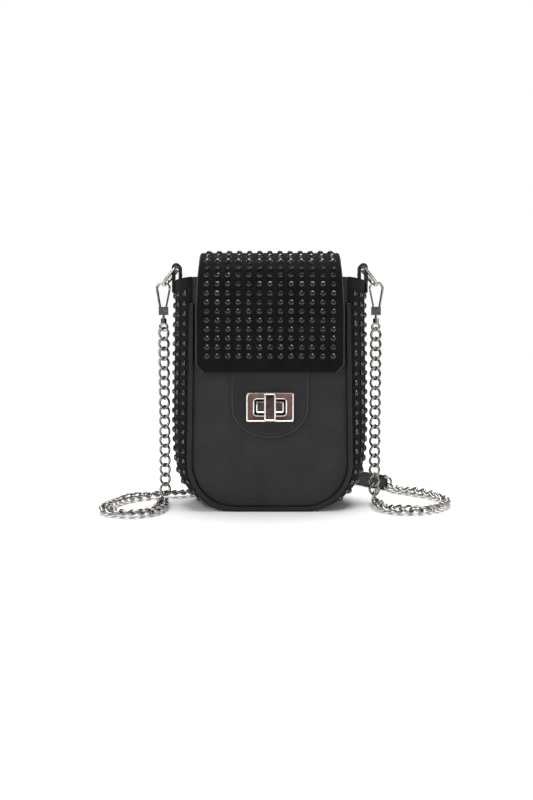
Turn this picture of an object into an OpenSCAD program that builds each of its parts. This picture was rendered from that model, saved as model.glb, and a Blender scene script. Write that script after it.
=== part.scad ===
// Small boxy crossbody wallet bag: leather panels, a swelling gusset with rows of dome studs,
// a studded flap with a turn-lock tongue, and a chain strap with a leather shoulder piece.
// Frame: +Z up, the front faces -Y, and the origin is the centre of the base on the ground.

/* [Body] */
// Width of the front and back panels at their widest
panel_w = 115; // [96:1:138]
// Width of the panels at the mouth
mouth_w = 110; // [92:1:132]
// Height of the panels
panel_h = 163; // [138:1:195]
// Depth from the front panel's face to the back panel's face
body_d = 54; // [45:1:66]
// Radius of the lower corners
corner_r = 34; // [28:1:42]
// How far the gusset swells out at its middle
gusset_bulge = 13.5; // [10:0.5:16.5]
// Height over which the swelling fades out towards the base
fade_h = 70; // [56:1:84]
// Thickness of the outer leather
leather_t = 1.6; // [1.3:0.1:2]
// Thickness of the lining cloth
lining_t = 0.5; // [0.4:0.1:0.6]
// Thickness of the stiffening boards in the two panels
board_t = 0.8; // [0.6:0.1:1]
// Thickness of the board in the base
base_t = 1.2; // [1:0.1:1.5]
// Width of the raised binding round the panels
binding_w = 3.2; // [2.6:0.1:4]
// Height of the binding above the panel's face
binding_h = 2.2; // [1.8:0.1:2.7]
// Distance from the mouth down to the binding's ends
binding_drop = 19; // [16:1:23]

/* [Flap] */
// Width of the flap at its free edge
flap_w = 102; // [85:1:103]
// Width of the flap at its top
flap_top_w = 98; // [82:1:102]
// Height of the flap's free edge
flap_edge_z = 98; // [90:1:112]
// Height where the flap's arch springs from its straight front
arch_z = 154; // [148:1:158]
// Rise of the arch's middle surface
arch_rise = 28; // [24:1:34]
// Room between a panel's face and the flap's lining
flap_gap = 2.6; // [2.4:0.1:3.1]
// Thickness of the flap's suede
suede_t = 1.4; // [1.2:0.1:1.7]
// Height of the sewn part of the flap on the back panel
anchor_h = 34; // [28:1:41]

/* [Studs] */
// Diameter of a stud's foot
stud_d = 4.2; // [3.5:0.1:5]
// Height of a stud
stud_h = 2; // [1.7:0.1:2.4]
// Depth that a stud's setting is pressed into the suede
stud_sink = 0.25; // [0.2:0.05:0.3]
// Columns of studs across the flap
flap_columns = 13; // [11:1:13]
// Distance between the flap's columns
flap_column_pitch = 7.2; // [6:0.1:7.4]
// Distance between the flap's rows
flap_row_pitch = 6.1; // [5.1:0.1:7.3]
// Columns of studs across the gusset
gusset_columns = 7; // [5:2:7]
// Distance between the gusset's columns
gusset_column_pitch = 8.5; // [7.1:0.1:8.9]
// Distance between the gusset's rows
gusset_row_pitch = 6.9; // [5.8:0.1:8.2]

/* [Tongue and lock] */
// Width of the tongue
tongue_w = 53; // [44:1:60]
// Height of the tongue's lowest point
tongue_z = 52; // [46:1:60]
// Room between the tongue and the front panel
tongue_gap = 1; // [0.9:0.1:1.2]
// Height of the lock's centre
lock_z = 73.5; // [70:0.5:80]
// Width of the lock's frame
frame_w = 33; // [28:0.5:39]
// Height of the lock's frame
frame_h = 20.5; // [17:0.5:24]
// Thickness of the lock's frame
frame_t = 2.2; // [1.8:0.1:2.7]
// Width of the slot in the frame and the tongue
slot_w = 21.5; // [20.5:0.5:25]
// Height of the slot
slot_h = 10.8; // [9.6:0.1:12.9]
// Length of the turn bar
bar_l = 19.3; // [16:0.1:20]
// Width of the turn bar
bar_w = 8.3; // [7:0.1:9]
// Thickness of the turn bar
bar_t = 3.2; // [2.7:0.1:3.9]
// Radius of the turn bar's spindle
spindle_r = 2; // [1.7:0.1:2.4]

/* [Rings and hooks] */
// Radius of the wire of the rings at the bag's top corners
ring_wire = 1.1; // [0.9:0.1:1.2]
// Radius of a ring's round end
ring_r = 7; // [6.8:0.1:8.4]
// Length of a ring's straight sides
ring_side = 9; // [7.5:0.1:10.8]
// Angle at which a ring hangs below the level
ring_tilt = 51; // [43:1:60]
// Height of a ring's bar above the mouth
tab_rise = 9.5; // [8:0.1:11.4]
// Width of a ring tab along its ring's bar
tab_w = 10; // [8:0.5:10.5]
// Radius of a hook's wire
hook_wire = 0.9; // [0.8:0.1:1]
// Radius of a hook's round top
hook_r = 4.6; // [4.5:0.1:5.5]
// Radius of a hook's gate pin
pin_r = 0.8; // [0.7:0.1:0.9]

/* [Strap] */
// Radius of the chain's wire
chain_wire = 0.95; // [0.8:0.05:0.95]
// Radius of a link's round ends
link_r = 3.4; // [3.4:0.1:4.1]
// Distance from link to link where the chain hangs
chain_pitch = 7.15; // [7:0.05:7.2]
// Distance from link to link where it lies slack
slack_pitch = 6.7; // [6.4:0.05:6.8]
// Height of the leather strap, which stands on its edge
strap_w = 12; // [10:0.5:14]
// Thickness of the leather strap
strap_t = 2.4; // [2:0.1:2.9]

/* [Hidden] */
$fn = 48;

running_gap = 0.05; // a shaft in its hole, on the radius
corner_x = panel_w / 2 - corner_r;
half_d = body_d / 2;
wall = leather_t + board_t + lining_t;

// ---- Outlines -------------------------------------------------------------------------------

// One side's outline from the mouth down and round the corner, as [x, z, height on the path's
// own scale, normal x, normal z]. side_in and base_in move it inwards.
function side_path(side_in, base_in) = concat(
  [for (f = [0, 0.25, 0.5, 0.7, 0.82, 0.92])
    let (z = panel_h + (corner_r - panel_h) * f)
    [mouth_w / 2 + (panel_w - mouth_w) / 2 * f - side_in, z, z, 1, 0]],
  [for (a = [0:9:90])
    [corner_x + (corner_r - side_in) * cos(a), corner_r - (corner_r - base_in) * sin(a),
     corner_r * (1 - sin(a)), cos(a), -sin(a)]]
);

function mirrored(path) = [for (i = [len(path) - 1:-1:0])
  [-path[i][0], path[i][1], path[i][2], -path[i][3], path[i][4]]];

// The panels' outline, set in by a margin and cut off at a height
function outline(inset, top) = let (
    x_top = mouth_w / 2 + (panel_w - mouth_w) / 2 * (panel_h - top) / (panel_h - corner_r) - inset,
    r = corner_r - inset)
  concat(
    [[x_top, top]],
    [for (a = [0:6:90]) [corner_x + r * cos(a), corner_r - r * sin(a)]],
    [for (a = [90:-6:0]) [-corner_x - r * cos(a), corner_r - r * sin(a)]],
    [[-x_top, top]]);

// A flat shape drawn in X and Z, made solid from y0 back to y1
module upright(y0, y1) {
  translate([0, y1, 0]) rotate([90, 0, 0]) linear_extrude(y1 - y0) children();
}

// The front panel's layers are copied to the back by turning the bag's other side forward
module at_back() {
  mirror([0, 1, 0]) children();
}

// A solid through closed rings of points that have the same number of points each
module skin(rings) {
  n = len(rings[0]);
  last = len(rings) - 1;
  polyhedron(
    points = [for (ring = rings) for (p = ring) p],
    faces = concat(
      [[for (i = [0:n - 1]) i]],
      [for (k = [0:last - 1], i = [0:n - 1])
        let (a = k * n + i, b = k * n + (i + 1) % n) [a, a + n, b]],
      [for (k = [0:last - 1], i = [0:n - 1])
        let (a = k * n + i, b = k * n + (i + 1) % n) [b, a + n, b + n]],
      [[for (i = [n - 1:-1:0]) last * n + i]]));
}

// ---- Gusset ---------------------------------------------------------------------------------

// How far the gusset stands out of the panels' outline, at a height and a place across its depth
function swell(z, y) = gusset_bulge * (1 - pow(y / half_d, 2))
  * (z >= fade_h ? 1 : sqrt(1 - pow(1 - z / fade_h, 2)));

function gusset_point(p, y, depth, floor_z) = let (out = swell(p[2], y) - depth)
  [p[0] + p[3] * out, y, max(p[1] + p[4] * out, floor_z)];

// A layer of the gusset between two depths under its outer face
module gusset_layer(outer, inner, base_outer, base_inner, reach) {
  steps = 10;
  function across(i) = -reach + 2 * reach * i / steps;
  half = side_path(0, 0);
  path = concat(half, mirrored(half));
  skin([for (p = path) concat(
    [for (i = [0:steps]) gusset_point(p, across(i), outer, base_outer)],
    [for (i = [steps:-1:0]) gusset_point(p, across(i), inner, base_inner)])]);
}

module gusset() {
  color([0.055, 0.055, 0.06])
    gusset_layer(0, leather_t, 0, leather_t, half_d);
}

module gusset_lining() {
  glue = 0.25; // keeps the two curved layers clear of each other
  color([0.12, 0.12, 0.13])
    gusset_layer(leather_t + glue, leather_t + glue + lining_t, leather_t + base_t,
      leather_t + base_t + lining_t, half_d - wall);
}

module base_board() {
  color([0.45, 0.36, 0.26])
    translate([-corner_x, -half_d + wall, leather_t])
      cube([2 * corner_x, body_d - 2 * wall, base_t]);
}

// A stud: a low cone with a flat top that stands for its faceted stone
module stud() {
  color([0.02, 0.02, 0.025])
    translate([0, 0, -stud_sink])
      cylinder(h = stud_h + stud_sink, d1 = stud_d, d2 = stud_d * 0.52, $fn = 24);
}

module aimed(point, normal) {
  size = norm(normal);
  translate(point)
    rotate([0, acos(normal[2] / size), atan2(normal[1], normal[0])])
      children();
}

// Rows run down the side and round the lower corner, and columns run across the depth
module gusset_studs() {
  first = 11;
  lowest = 9;
  straight = panel_h - corner_r;
  turn = asin((corner_r - lowest) / corner_r);
  path_l = straight + corner_r * turn * PI / 180;
  for (s = [first:gusset_row_pitch:path_l]) {
    a = max(0, (s - straight) / corner_r * 180 / PI);
    f = min(1, s / straight);
    p = [mouth_w / 2 + (panel_w - mouth_w) / 2 * f - corner_r * (1 - cos(a)),
         s < straight ? panel_h - s : corner_r * (1 - sin(a)),
         s < straight ? panel_h - s : corner_r * (1 - sin(a)), cos(a), -sin(a)];
    for (i = [0:gusset_columns - 1]) {
      v = (i - (gusset_columns - 1) / 2) * gusset_column_pitch;
      // the arc is longer than its chord, so the studs close up towards the edges
      y = v * (1 - 0.082 * pow(v / half_d, 2));
      slope = 2 * y / pow(half_d, 2) * swell(p[2], 0);
      aimed(gusset_point(p, y, 0, 0), [p[3], slope, p[4]]) stud();
    }
  }
}

module gusset_studs_right() {
  gusset_studs();
}

module gusset_studs_left() {
  mirror([1, 0, 0]) gusset_studs();
}

// ---- Panels ---------------------------------------------------------------------------------

module panel_layer(y0, thickness) {
  upright(y0, y0 + thickness) polygon(outline(leather_t, panel_h));
}

module leather_panel() {
  color([0.09, 0.09, 0.1]) panel_layer(-half_d, leather_t);
}

module board() {
  top_room = 8; // the board stops short of the mouth
  color([0.45, 0.36, 0.26])
    intersection() {
      panel_layer(-half_d + leather_t, board_t);
      translate([-panel_w, -body_d, leather_t + base_t])
        cube([2 * panel_w, body_d, panel_h - top_room - leather_t - base_t]);
    }
}

module lining() {
  color([0.12, 0.12, 0.13])
    panel_layer(-half_d + leather_t + board_t, lining_t);
}

// The folded strip that binds the panel's edge to the gusset's edge and stands proud of both
module binding() {
  top = panel_h - binding_drop;
  color([0.075, 0.075, 0.08])
    upright(-half_d - binding_h, -half_d)
      difference() {
        polygon(outline(0, top));
        polygon(outline(binding_w, top + 1));
      }
}

// Holes for the lock's two prongs and its spindle
module lock_holes() {
  translate([0, 0, lock_z]) rotate([90, 0, 0])
    for (x = [-slot_w / 2 + 3.5, 0, slot_w / 2 - 3.5])
      translate([x, 0, 0])
        cylinder(r = x == 0 ? spindle_r + 0.4 : 1.1, h = body_d);
}

module front_panel() {
  difference() {
    leather_panel();
    lock_holes();
  }
}

module front_board() {
  difference() {
    board();
    lock_holes();
  }
}

module front_lining() {
  difference() {
    lining();
    lock_holes();
  }
}

module front_binding() {
  binding();
}

module back_panel() {
  at_back() leather_panel();
}

module back_board() {
  at_back() board();
}

module back_lining() {
  at_back() lining();
}

module back_binding() {
  at_back() binding();
}

// A slip pocket for cards against the back lining, open at its top
module card_pocket() {
  pocket_w = mouth_w - 24;
  color([0.12, 0.12, 0.13])
    translate([-pocket_w / 2, half_d - wall - lining_t, corner_r])
      cube([pocket_w, lining_t, panel_h - corner_r - 42]);
}

// ---- Flap -----------------------------------------------------------------------------------

arch_half = half_d + flap_gap + lining_t + suede_t / 2; // to the suede's middle
arch_power = 2.25;                                      // a little squarer than an ellipse

// A point of the arch at an angle from its front foot, moved outwards by a margin
function arch_point(t, out) =
  [-(arch_half + out) * sign(cos(t)) * pow(abs(cos(t)), 2 / arch_power),
   arch_z + (arch_rise + out) * pow(abs(sin(t)), 2 / arch_power)];

// The flap's section in Y and Z between two margins, from the free edge over the arch
function flap_section(low, high) = concat(
  [[-arch_half - high, flap_edge_z]],
  [for (t = [0:5:180]) arch_point(t, high)],
  [for (t = [180:-5:0]) arch_point(t, low)],
  [[-arch_half - low, flap_edge_z]]);

// A section drawn in Y and Z made solid along X, and trimmed to the flap's tapering width
module flap_layer(low, high, edge_in) {
  round_r = 4;
  w = flap_w / 2 - edge_in;
  top_w = flap_top_w / 2 - edge_in;
  low_z = flap_edge_z + edge_in;
  intersection() {
    translate([-flap_w / 2, 0, 0]) rotate([90, 0, 90])
      linear_extrude(flap_w) polygon(flap_section(low, high));
    upright(-body_d, body_d) polygon([
      [-w + round_r, low_z], [w - round_r, low_z], [w - round_r * 0.3, low_z + round_r * 0.3],
      [w, low_z + round_r], [w, arch_z - 14], [top_w, panel_h + 8], [top_w, arch_z + 60],
      [-top_w, arch_z + 60], [-top_w, panel_h + 8], [-w, arch_z - 14], [-w, low_z + round_r],
      [-w + round_r * 0.3, low_z + round_r * 0.3]]);
  }
}

module flap() {
  color([0.05, 0.05, 0.055]) flap_layer(-suede_t / 2, suede_t / 2, 0);
}

module flap_lining() {
  color([0.12, 0.12, 0.13])
    flap_layer(-suede_t / 2 - lining_t, -suede_t / 2, 1.5);
}

// Lengths along the arch's outer face, for placing rows at an even pitch
function arch_step(t) = norm(arch_point(t, suede_t / 2) - arch_point(t - 2, suede_t / 2));
function arch_lengths(t, l) = t > 180 ? []
  : concat([[l, t]], arch_lengths(t + 2, t + 2 > 180 ? l : l + arch_step(t + 2)));
arch_table = arch_lengths(0, 0);
arch_l = arch_table[len(arch_table) - 1][0];

module flap_studs() {
  first_row = 10.5;
  straight = arch_z - flap_edge_z;
  face = arch_half + suede_t / 2;
  for (s = [first_row:flap_row_pitch:straight + arch_l - flap_row_pitch])
    for (i = [0:flap_columns - 1]) {
      x = (i - (flap_columns - 1) / 2) * flap_column_pitch;
      t = lookup(s - straight, arch_table);
      before = arch_point(t - 1, suede_t / 2);
      after = arch_point(t + 1, suede_t / 2);
      on_arch = s > straight + 1;
      p = on_arch ? arch_point(t, suede_t / 2) : [-face, flap_edge_z + s];
      n = on_arch ? [before[1] - after[1], after[0] - before[0]] : [-1, 0];
      aimed([x, p[0], p[1]], [0, n[0], n[1]]) stud();
    }
}

// The part of the same suede that is sewn flat on the back panel, below the fold
module flap_anchor() {
  color([0.05, 0.05, 0.055])
    translate([-flap_top_w / 2, half_d, arch_z - 1 - anchor_h])
      cube([flap_top_w, flap_gap + lining_t, anchor_h]);
}

// ---- Tongue and turn-lock -------------------------------------------------------------------

lining_face = -half_d - flap_gap;
tongue_back = -half_d - tongue_gap;
tongue_front = lining_face;

// The slot, cut through whatever it is taken from
module slot_cut(margin) {
  translate([-slot_w / 2 - margin, -body_d, lock_z - slot_h / 2 - margin])
    cube([slot_w + 2 * margin, body_d, slot_h + 2 * margin]);
}

module tongue() {
  r = tongue_w / 2 - 1;
  sewn_h = 24; // the part under the flap
  top = flap_edge_z + sewn_h;
  color([0.09, 0.09, 0.1])
    difference() {
      upright(tongue_front, tongue_back)
        polygon(concat(
          [[tongue_w / 2, top], [tongue_w / 2, tongue_z + r * 0.86]],
          [for (a = [0:6:90])
            [tongue_w / 2 - r + r * cos(a), tongue_z + r * 0.86 * (1 - sin(a))]],
          [for (a = [90:-6:0])
            [-tongue_w / 2 + r - r * cos(a), tongue_z + r * 0.86 * (1 - sin(a))]],
          [[-tongue_w / 2, tongue_z + r * 0.86], [-tongue_w / 2, top]]));
      slot_cut(0.4);
    }
}

module lock_frame() {
  bevel = 0.8;
  color([0.72, 0.72, 0.74])
    difference() {
      union() {
        translate([-frame_w / 2, tongue_front - frame_t + bevel, lock_z - frame_h / 2])
          cube([frame_w, frame_t - bevel, frame_h]);
        translate([-frame_w / 2 + bevel, tongue_front - frame_t, lock_z - frame_h / 2 + bevel])
          cube([frame_w - 2 * bevel, frame_t, frame_h - 2 * bevel]);
      }
      slot_cut(0);
    }
}

// The thin plate behind the tongue that the frame's claws are bent over
module lock_frame_plate() {
  plate_t = 0.4;
  color([0.6, 0.6, 0.62])
    difference() {
      translate([-frame_w / 2 + 1.5, tongue_back, lock_z - frame_h / 2 + 1.5])
        cube([frame_w - 3, plate_t, frame_h - 3]);
      slot_cut(0.4);
    }
}

boss_w = slot_w - 2.4;
boss_h = slot_h - 2.6;
boss_face = tongue_front - frame_t - 0.3;
bar_face = boss_face - 0.2;

// The plate's raised boss fills the slot, and its two prongs go through the panel
module lock_base() {
  color([0.66, 0.66, 0.68])
    difference() {
      union() {
        translate([-boss_w / 2, boss_face, lock_z - boss_h / 2])
          cube([boss_w, -half_d - boss_face, boss_h]);
        translate([0, -half_d, lock_z]) rotate([-90, 0, 0])
          for (x = [-slot_w / 2 + 3.5, slot_w / 2 - 3.5])
            translate([x, 0, 0]) cylinder(r = 1, h = leather_t + board_t + 0.4);
      }
      translate([0, 0, lock_z]) rotate([90, 0, 0])
        cylinder(r = spindle_r + running_gap, h = body_d);
    }
}

washer_face = -half_d + leather_t + board_t;

// The plate inside that the prongs are bent over, under the lining's own patch
module lock_washer() {
  color([0.66, 0.66, 0.68])
    difference() {
      translate([-boss_w / 2, washer_face + lining_t, lock_z - boss_h / 2])
        cube([boss_w, 0.6, boss_h]);
      translate([0, 0, lock_z]) rotate([90, 0, 0]) {
        translate([0, 0, -body_d]) cylinder(r = spindle_r + running_gap, h = 2 * body_d);
      }
    }
}

module lock_knob() {
  color([0.78, 0.78, 0.8])
    union() {
      translate([-bar_w / 2, bar_face - bar_t + 1, lock_z - bar_l / 2])
        cube([bar_w, bar_t - 1, bar_l]);
      translate([-bar_w / 2 + 1, bar_face - bar_t, lock_z - bar_l / 2 + 1])
        cube([bar_w - 2, bar_t, bar_l - 2]);
      translate([0, bar_face, lock_z]) rotate([-90, 0, 0])
        cylinder(r = spindle_r, h = washer_face + lining_t + 1.8 - bar_face);
    }
}

// The clip that keeps the spindle in
module lock_clip() {
  color([0.5, 0.5, 0.52])
    translate([0, washer_face + lining_t + 0.8, lock_z]) rotate([-90, 0, 0])
      difference() {
        cylinder(r = spindle_r + 1.5, h = 0.8);
        translate([0, 0, -1]) cylinder(r = spindle_r, h = 3);
      }
}

// ---- Ring tabs, rings and hooks -------------------------------------------------------------

tab_hole = ring_wire + 0.5;
tab_x = mouth_w / 2 + gusset_bulge - (leather_t + lining_t) / 2;
tab_z = panel_h + tab_rise;
tab_leg = tab_rise + 8;

// A leather loop that straddles the gusset's top edge and holds the ring's bar
module ring_tab() {
  outer = tab_hole + leather_t;
  color([0.09, 0.09, 0.1])
    translate([tab_x, 0, tab_z]) rotate([90, 0, 0])
      translate([0, 0, -tab_w / 2])
        linear_extrude(tab_w)
          difference() {
            union() {
              circle(r = outer);
              translate([-outer, -tab_leg]) square([2 * outer, tab_leg]);
            }
            circle(r = tab_hole);
            translate([-tab_hole, -tab_leg - 1]) square([2 * tab_hole, tab_leg + 1]);
          }
}

// A D-shaped ring: its bar lies along Y through the origin and its round end points to +X
module d_ring(r, side, wire) {
  bar = wire * 1.06;
  union() {
    rotate([90, 0, 0]) translate([0, 0, -r - wire * 1.2]) cylinder(r = bar, h = 2 * r + wire * 2.4);
    for (s = [-1, 1])
      translate([0, s * r, 0]) rotate([0, 90, 0]) cylinder(r = wire, h = side);
    translate([side, 0, 0]) rotate([0, 0, -90])
      rotate_extrude(angle = 180) translate([r, 0]) circle(r = wire);
  }
}

module ring() {
  color([0.78, 0.78, 0.79])
    translate([tab_x, 0, tab_z]) rotate([0, ring_tilt, 0])
      d_ring(ring_r, ring_side, ring_wire);
}

hang_x = tab_x + (ring_side + ring_r) * cos(ring_tilt);
hang_z = tab_z - (ring_side + ring_r) * sin(ring_tilt);
hook_top = -(hook_r - hook_wire - ring_wire - 0.15); // from the ring's wire to the top's centre
block_top = -15.5;
block_h = 6;
block_w = 6.6;
block_t = 3.2;
barrel_t = 1.5;
gate_x = -1.5;
gate_z = block_top - 2.2;
arm_foot = 2.4;
slot_floor = gate_z - 2.2;
spring_x = 1.25;
spring_z = gate_z - 0.9;
spring_r = 0.75;
spring_wire = 0.22;

// A straight round rod between two points in X and Z
module rod(x0, z0, x1, z1, r) {
  translate([x0, 0, z0])
    rotate([0, atan2(x1 - x0, z1 - z0), 0])
      cylinder(r = r, h = norm([x1 - x0, z1 - z0]));
}

module at_hook() {
  translate([hang_x, 0, hang_z]) children();
}

// The hook's round top, its fixed arm and the block at its foot
module hook() {
  slot_t = barrel_t + 0.3;
  color([0.76, 0.76, 0.78])
    at_hook() difference() {
      union() {
        translate([0, 0, hook_top]) rotate([90, 0, 0])
          rotate_extrude(angle = 180) translate([hook_r, 0]) circle(r = hook_wire);
        translate([hook_r, 0, hook_top]) sphere(r = hook_wire * 1.05);
        rod(hook_r, hook_top, arm_foot, block_top - 1, hook_wire);
        translate([-block_w / 2, -block_t / 2, block_top - block_h])
          cube([block_w, block_t, block_h]);
      }
      translate([-block_w, -slot_t / 2, slot_floor]) cube([block_w + 1, slot_t, 8]);
      translate([0, -slot_t / 2, slot_floor])
        cube([spring_x + spring_r + spring_wire + 0.15, slot_t, 2.4]);
      translate([gate_x, block_t, gate_z]) rotate([90, 0, 0])
        cylinder(r = pin_r, h = 2 * block_t);
      translate([0, 0, block_top - block_h - 1])
        cylinder(r = hook_wire + running_gap, h = slot_floor - block_top + block_h + 1.1);
    }
}

// The sprung gate that closes the hook: a barrel on the pin and an arm up to the hook's tip
module hook_gate() {
  arm_r = barrel_t / 2 - 0.07;
  tip_z = hook_top - 0.35;
  reach = [-hook_r - gate_x, tip_z - gate_z];
  foot = [gate_x, gate_z] + reach / norm(reach) * (pin_r + 0.45);
  color([0.76, 0.76, 0.78])
    at_hook() difference() {
      union() {
        translate([gate_x, barrel_t / 2, gate_z]) rotate([90, 0, 0])
          cylinder(r = pin_r + 0.9, h = barrel_t);
        rod(foot[0], foot[1], -hook_r, tip_z, arm_r);
      }
      translate([gate_x, block_t, gate_z]) rotate([90, 0, 0])
        cylinder(r = pin_r + running_gap, h = 2 * block_t);
    }
}

// The riveted pin through the block, with a head at each side
module hook_pin() {
  head_t = 0.4;
  color([0.7, 0.7, 0.72])
    at_hook() translate([gate_x, 0, gate_z]) rotate([90, 0, 0]) {
      translate([0, 0, -block_t / 2 - head_t]) cylinder(r = pin_r, h = block_t + 2 * head_t);
      for (y = [-block_t / 2 - head_t, block_t / 2])
        translate([0, 0, y]) cylinder(r = pin_r + 0.6, h = head_t);
    }
}

// The spring that holds the gate shut, a ring of fine wire in the slot below the gate's barrel
module hook_spring() {
  color([0.6, 0.6, 0.62])
    at_hook() translate([spring_x, 0, spring_z]) rotate([90, 0, 0])
      rotate_extrude() translate([spring_r, 0]) circle(r = spring_wire, $fn = 16);
}

collar_r = 2.1;
neck_l = 2.4;
collar_l = 3.6;
eye_r = 2.6;
eye_z = block_top - block_h - neck_l - collar_l - eye_r;

// The pin, collar and eye that turn in the block, and carry the chain
module swivel() {
  color([0.76, 0.76, 0.78])
    at_hook() union() {
      translate([0, 0, block_top - block_h - neck_l])
        cylinder(r = hook_wire, h = slot_floor - 0.2 - block_top + block_h + neck_l);
      translate([0, 0, block_top - block_h - neck_l - collar_l])
        cylinder(r = collar_r, h = collar_l);
      translate([0, 0, eye_z]) rotate([90, 0, 0])
        rotate_extrude() translate([eye_r, 0]) circle(r = hook_wire);
    }
}

// ---- Chains and strap -----------------------------------------------------------------------

link_play = 0.04; // lets a link move in the next
link_half = chain_pitch / 2 + chain_wire + link_play - link_r; // half of a link's straight side

// An oval link along Z, lying in X and Z
module link() {
  union()
    for (s = [0, 180]) rotate([0, s, 0]) {
      translate([0, 0, link_half]) rotate([90, 0, 0])
        rotate_extrude(angle = 180) translate([link_r, 0]) circle(r = chain_wire, $fn = 24);
      translate([link_r, 0, -link_half]) cylinder(r = chain_wire, h = 2 * link_half, $fn = 24);
    }
}

first_link_z = hang_z + eye_z - eye_r + hook_wire + chain_wire + 0.1 - link_half - link_r;
ground_room = 4.5; // between the lowest hanging link and the ground
hanging_links = 1 + floor((first_link_z - link_half - link_r - chain_wire - ground_room) / chain_pitch);

// Links that hang straight down from the swivel's eye, each turned a quarter from the last
module hanging_chain() {
  color([0.7, 0.7, 0.71])
    for (i = [0:hanging_links - 1])
      translate([hang_x, 0, first_link_z - i * chain_pitch])
        rotate([0, 0, i % 2 == 0 ? 90 : 0]) link();
}

// Plan routes of the chains on the ground, from under the hook to the shoulder strap's ring
lie_z = link_r * sqrt(0.5) + chain_wire + 0.05;
LEFT_ROUTE = [[-78, -8], [-76, -26], [-81, -41], [-94, -47], [-108, -42], [-115, -29], [-113, -13],
  [-105, 2], [-92, 12], [-78, 18], [-66, 21.5], [-55, 29], [-50, 35], [-47.5, 40]];
RIGHT_ROUTE = [[78, -8], [78, -24], [85, -35], [98, -38], [112, -32], [123, -20], [128.5, -4],
  [124.5, 12], [115.5, 23], [107.5, 30.5], [101.5, 38], [98.5, 47]];

// A smooth curve through a route's points, as eight points for each of its stretches
function curve_point(a, b, c, d, f) = b + f * (c - a) / 2
  + f * f * (a - 2.5 * b + 2 * c - d / 2) + f * f * f * (1.5 * b - 1.5 * c + (d - a) / 2);
function curve(route) = let (last = len(route) - 1) concat(
  [for (i = [0:last - 1], k = [0:7])
    curve_point(route[max(0, i - 1)], route[i], route[i + 1], route[min(last, i + 2)], k / 8)],
  [route[last]]);

// The length from a curve's start to each of its points, as [length, number of the point]
function lengths(points, i, l) = i == len(points) ? []
  : let (here = l + (i == 0 ? 0 : norm(points[i] - points[i - 1])))
    concat([[here, i]], lengths(points, i + 1, here));

function along(points, table, s) = let (
    u = max(0, min(len(points) - 1.001, lookup(s, table))),
    i = floor(u))
  points[i] + (points[i + 1] - points[i]) * (u - i);

// Links lie in a row along a route, tipped to one side and the other in turn
module ground_chain(route) {
  points = curve(route);
  table = lengths(points, 0, 0);
  total = table[len(table) - 1][0];
  count = floor(total / slack_pitch);
  color([0.7, 0.7, 0.71])
    for (i = [0:count - 1]) {
      s = (i + 0.5) * total / count;
      p = along(points, table, s);
      q = along(points, table, s + 3) - along(points, table, s - 3);
      translate([p[0], p[1], lie_z])
        rotate([0, 90, atan2(q[1], q[0])])
          rotate([0, 0, i % 2 == 0 ? 45 : -45]) link();
    }
}

module left_ground_chain() {
  ground_chain(LEFT_ROUTE);
}

module right_ground_chain() {
  ground_chain(RIGHT_ROUTE);
}

// The leather strap's plan: runs and bends as [length or radius, turn in degrees]
STRAP_START = [93.4, 51.1];
STRAP_HEADING = 130;
STRAP_RUNS = [[42, 0], [20, 50], [78, 0], [14, 180], [58, 0], [12, -180], [71, 0]];

// A place on the strap is [point, heading]; a run moves it on by a share f of the run
function moved(at, run, f) = let (p = at[0], h = at[1], turn = run[1] * f, side = sign(turn))
  run[1] == 0 ? [p + run[0] * f * [cos(h), sin(h)], h]
  : [p + run[0] * side * ([-sin(h), cos(h)] + [sin(h + turn), -cos(h + turn)]), h + turn];

function strap_at(i) = i == 0 ? [STRAP_START, STRAP_HEADING]
  : moved(strap_at(i - 1), STRAP_RUNS[i - 1], 1);

strap_places = concat(
  [[STRAP_START, STRAP_HEADING]],
  [for (i = [0:len(STRAP_RUNS) - 1])
    let (run = STRAP_RUNS[i], steps = max(1, round(abs(run[1]) / 7.5)))
    for (k = [1:steps]) moved(strap_at(i), run, k / steps)]);

// One side of the strap's plan, set off from its middle
function strap_side(off) = [for (at = strap_places) at[0] + off * [-sin(at[1]), cos(at[1])]];

function backwards(list) = [for (i = [len(list) - 1:-1:0]) list[i]];

strap_ring_wire = 0.9;
strap_eye = strap_ring_wire + 0.25;
eye_low = 2.6;
eye_h = strap_w - 2 * eye_low + 0.8;
strap_end = strap_at(len(STRAP_RUNS));

// The strap's folded end, a loop round the ring's upright bar; it points to +X from the origin
module strap_eye_loop() {
  outer = strap_eye + 1.1;
  translate([outer - 0.3, 0, eye_low])
    difference() {
      union() {
        cylinder(r = outer, h = eye_h);
        translate([-outer, -strap_t / 2, 0]) cube([outer, strap_t, eye_h]);
      }
      translate([0, 0, -1]) cylinder(r = strap_eye, h = eye_h + 2);
    }
}

module shoulder_strap() {
  color([0.1, 0.1, 0.105])
    union() {
      linear_extrude(strap_w)
        polygon(concat(strap_side(strap_t / 2), backwards(strap_side(-strap_t / 2))));
      translate([STRAP_START[0], STRAP_START[1], 0]) rotate([0, 0, STRAP_HEADING + 180])
        strap_eye_loop();
      translate([strap_end[0][0], strap_end[0][1], 0]) rotate([0, 0, strap_end[1]])
        strap_eye_loop();
    }
}

// A D-ring that stands in the strap's folded end, with its round end away from the strap
module strap_ring(at, heading) {
  r = eye_h / 2 + strap_ring_wire + 0.2;
  color([0.78, 0.78, 0.79])
    translate([at[0], at[1], 0]) rotate([0, 0, heading])
      translate([strap_eye + 0.8, 0, eye_low + eye_h / 2]) rotate([90, 0, 0])
        d_ring(r, 1.5, strap_ring_wire);
}

module right_strap_ring() {
  strap_ring(STRAP_START, STRAP_HEADING + 180);
}

module left_strap_ring() {
  strap_ring(strap_end[0], strap_end[1]);
}

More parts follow.
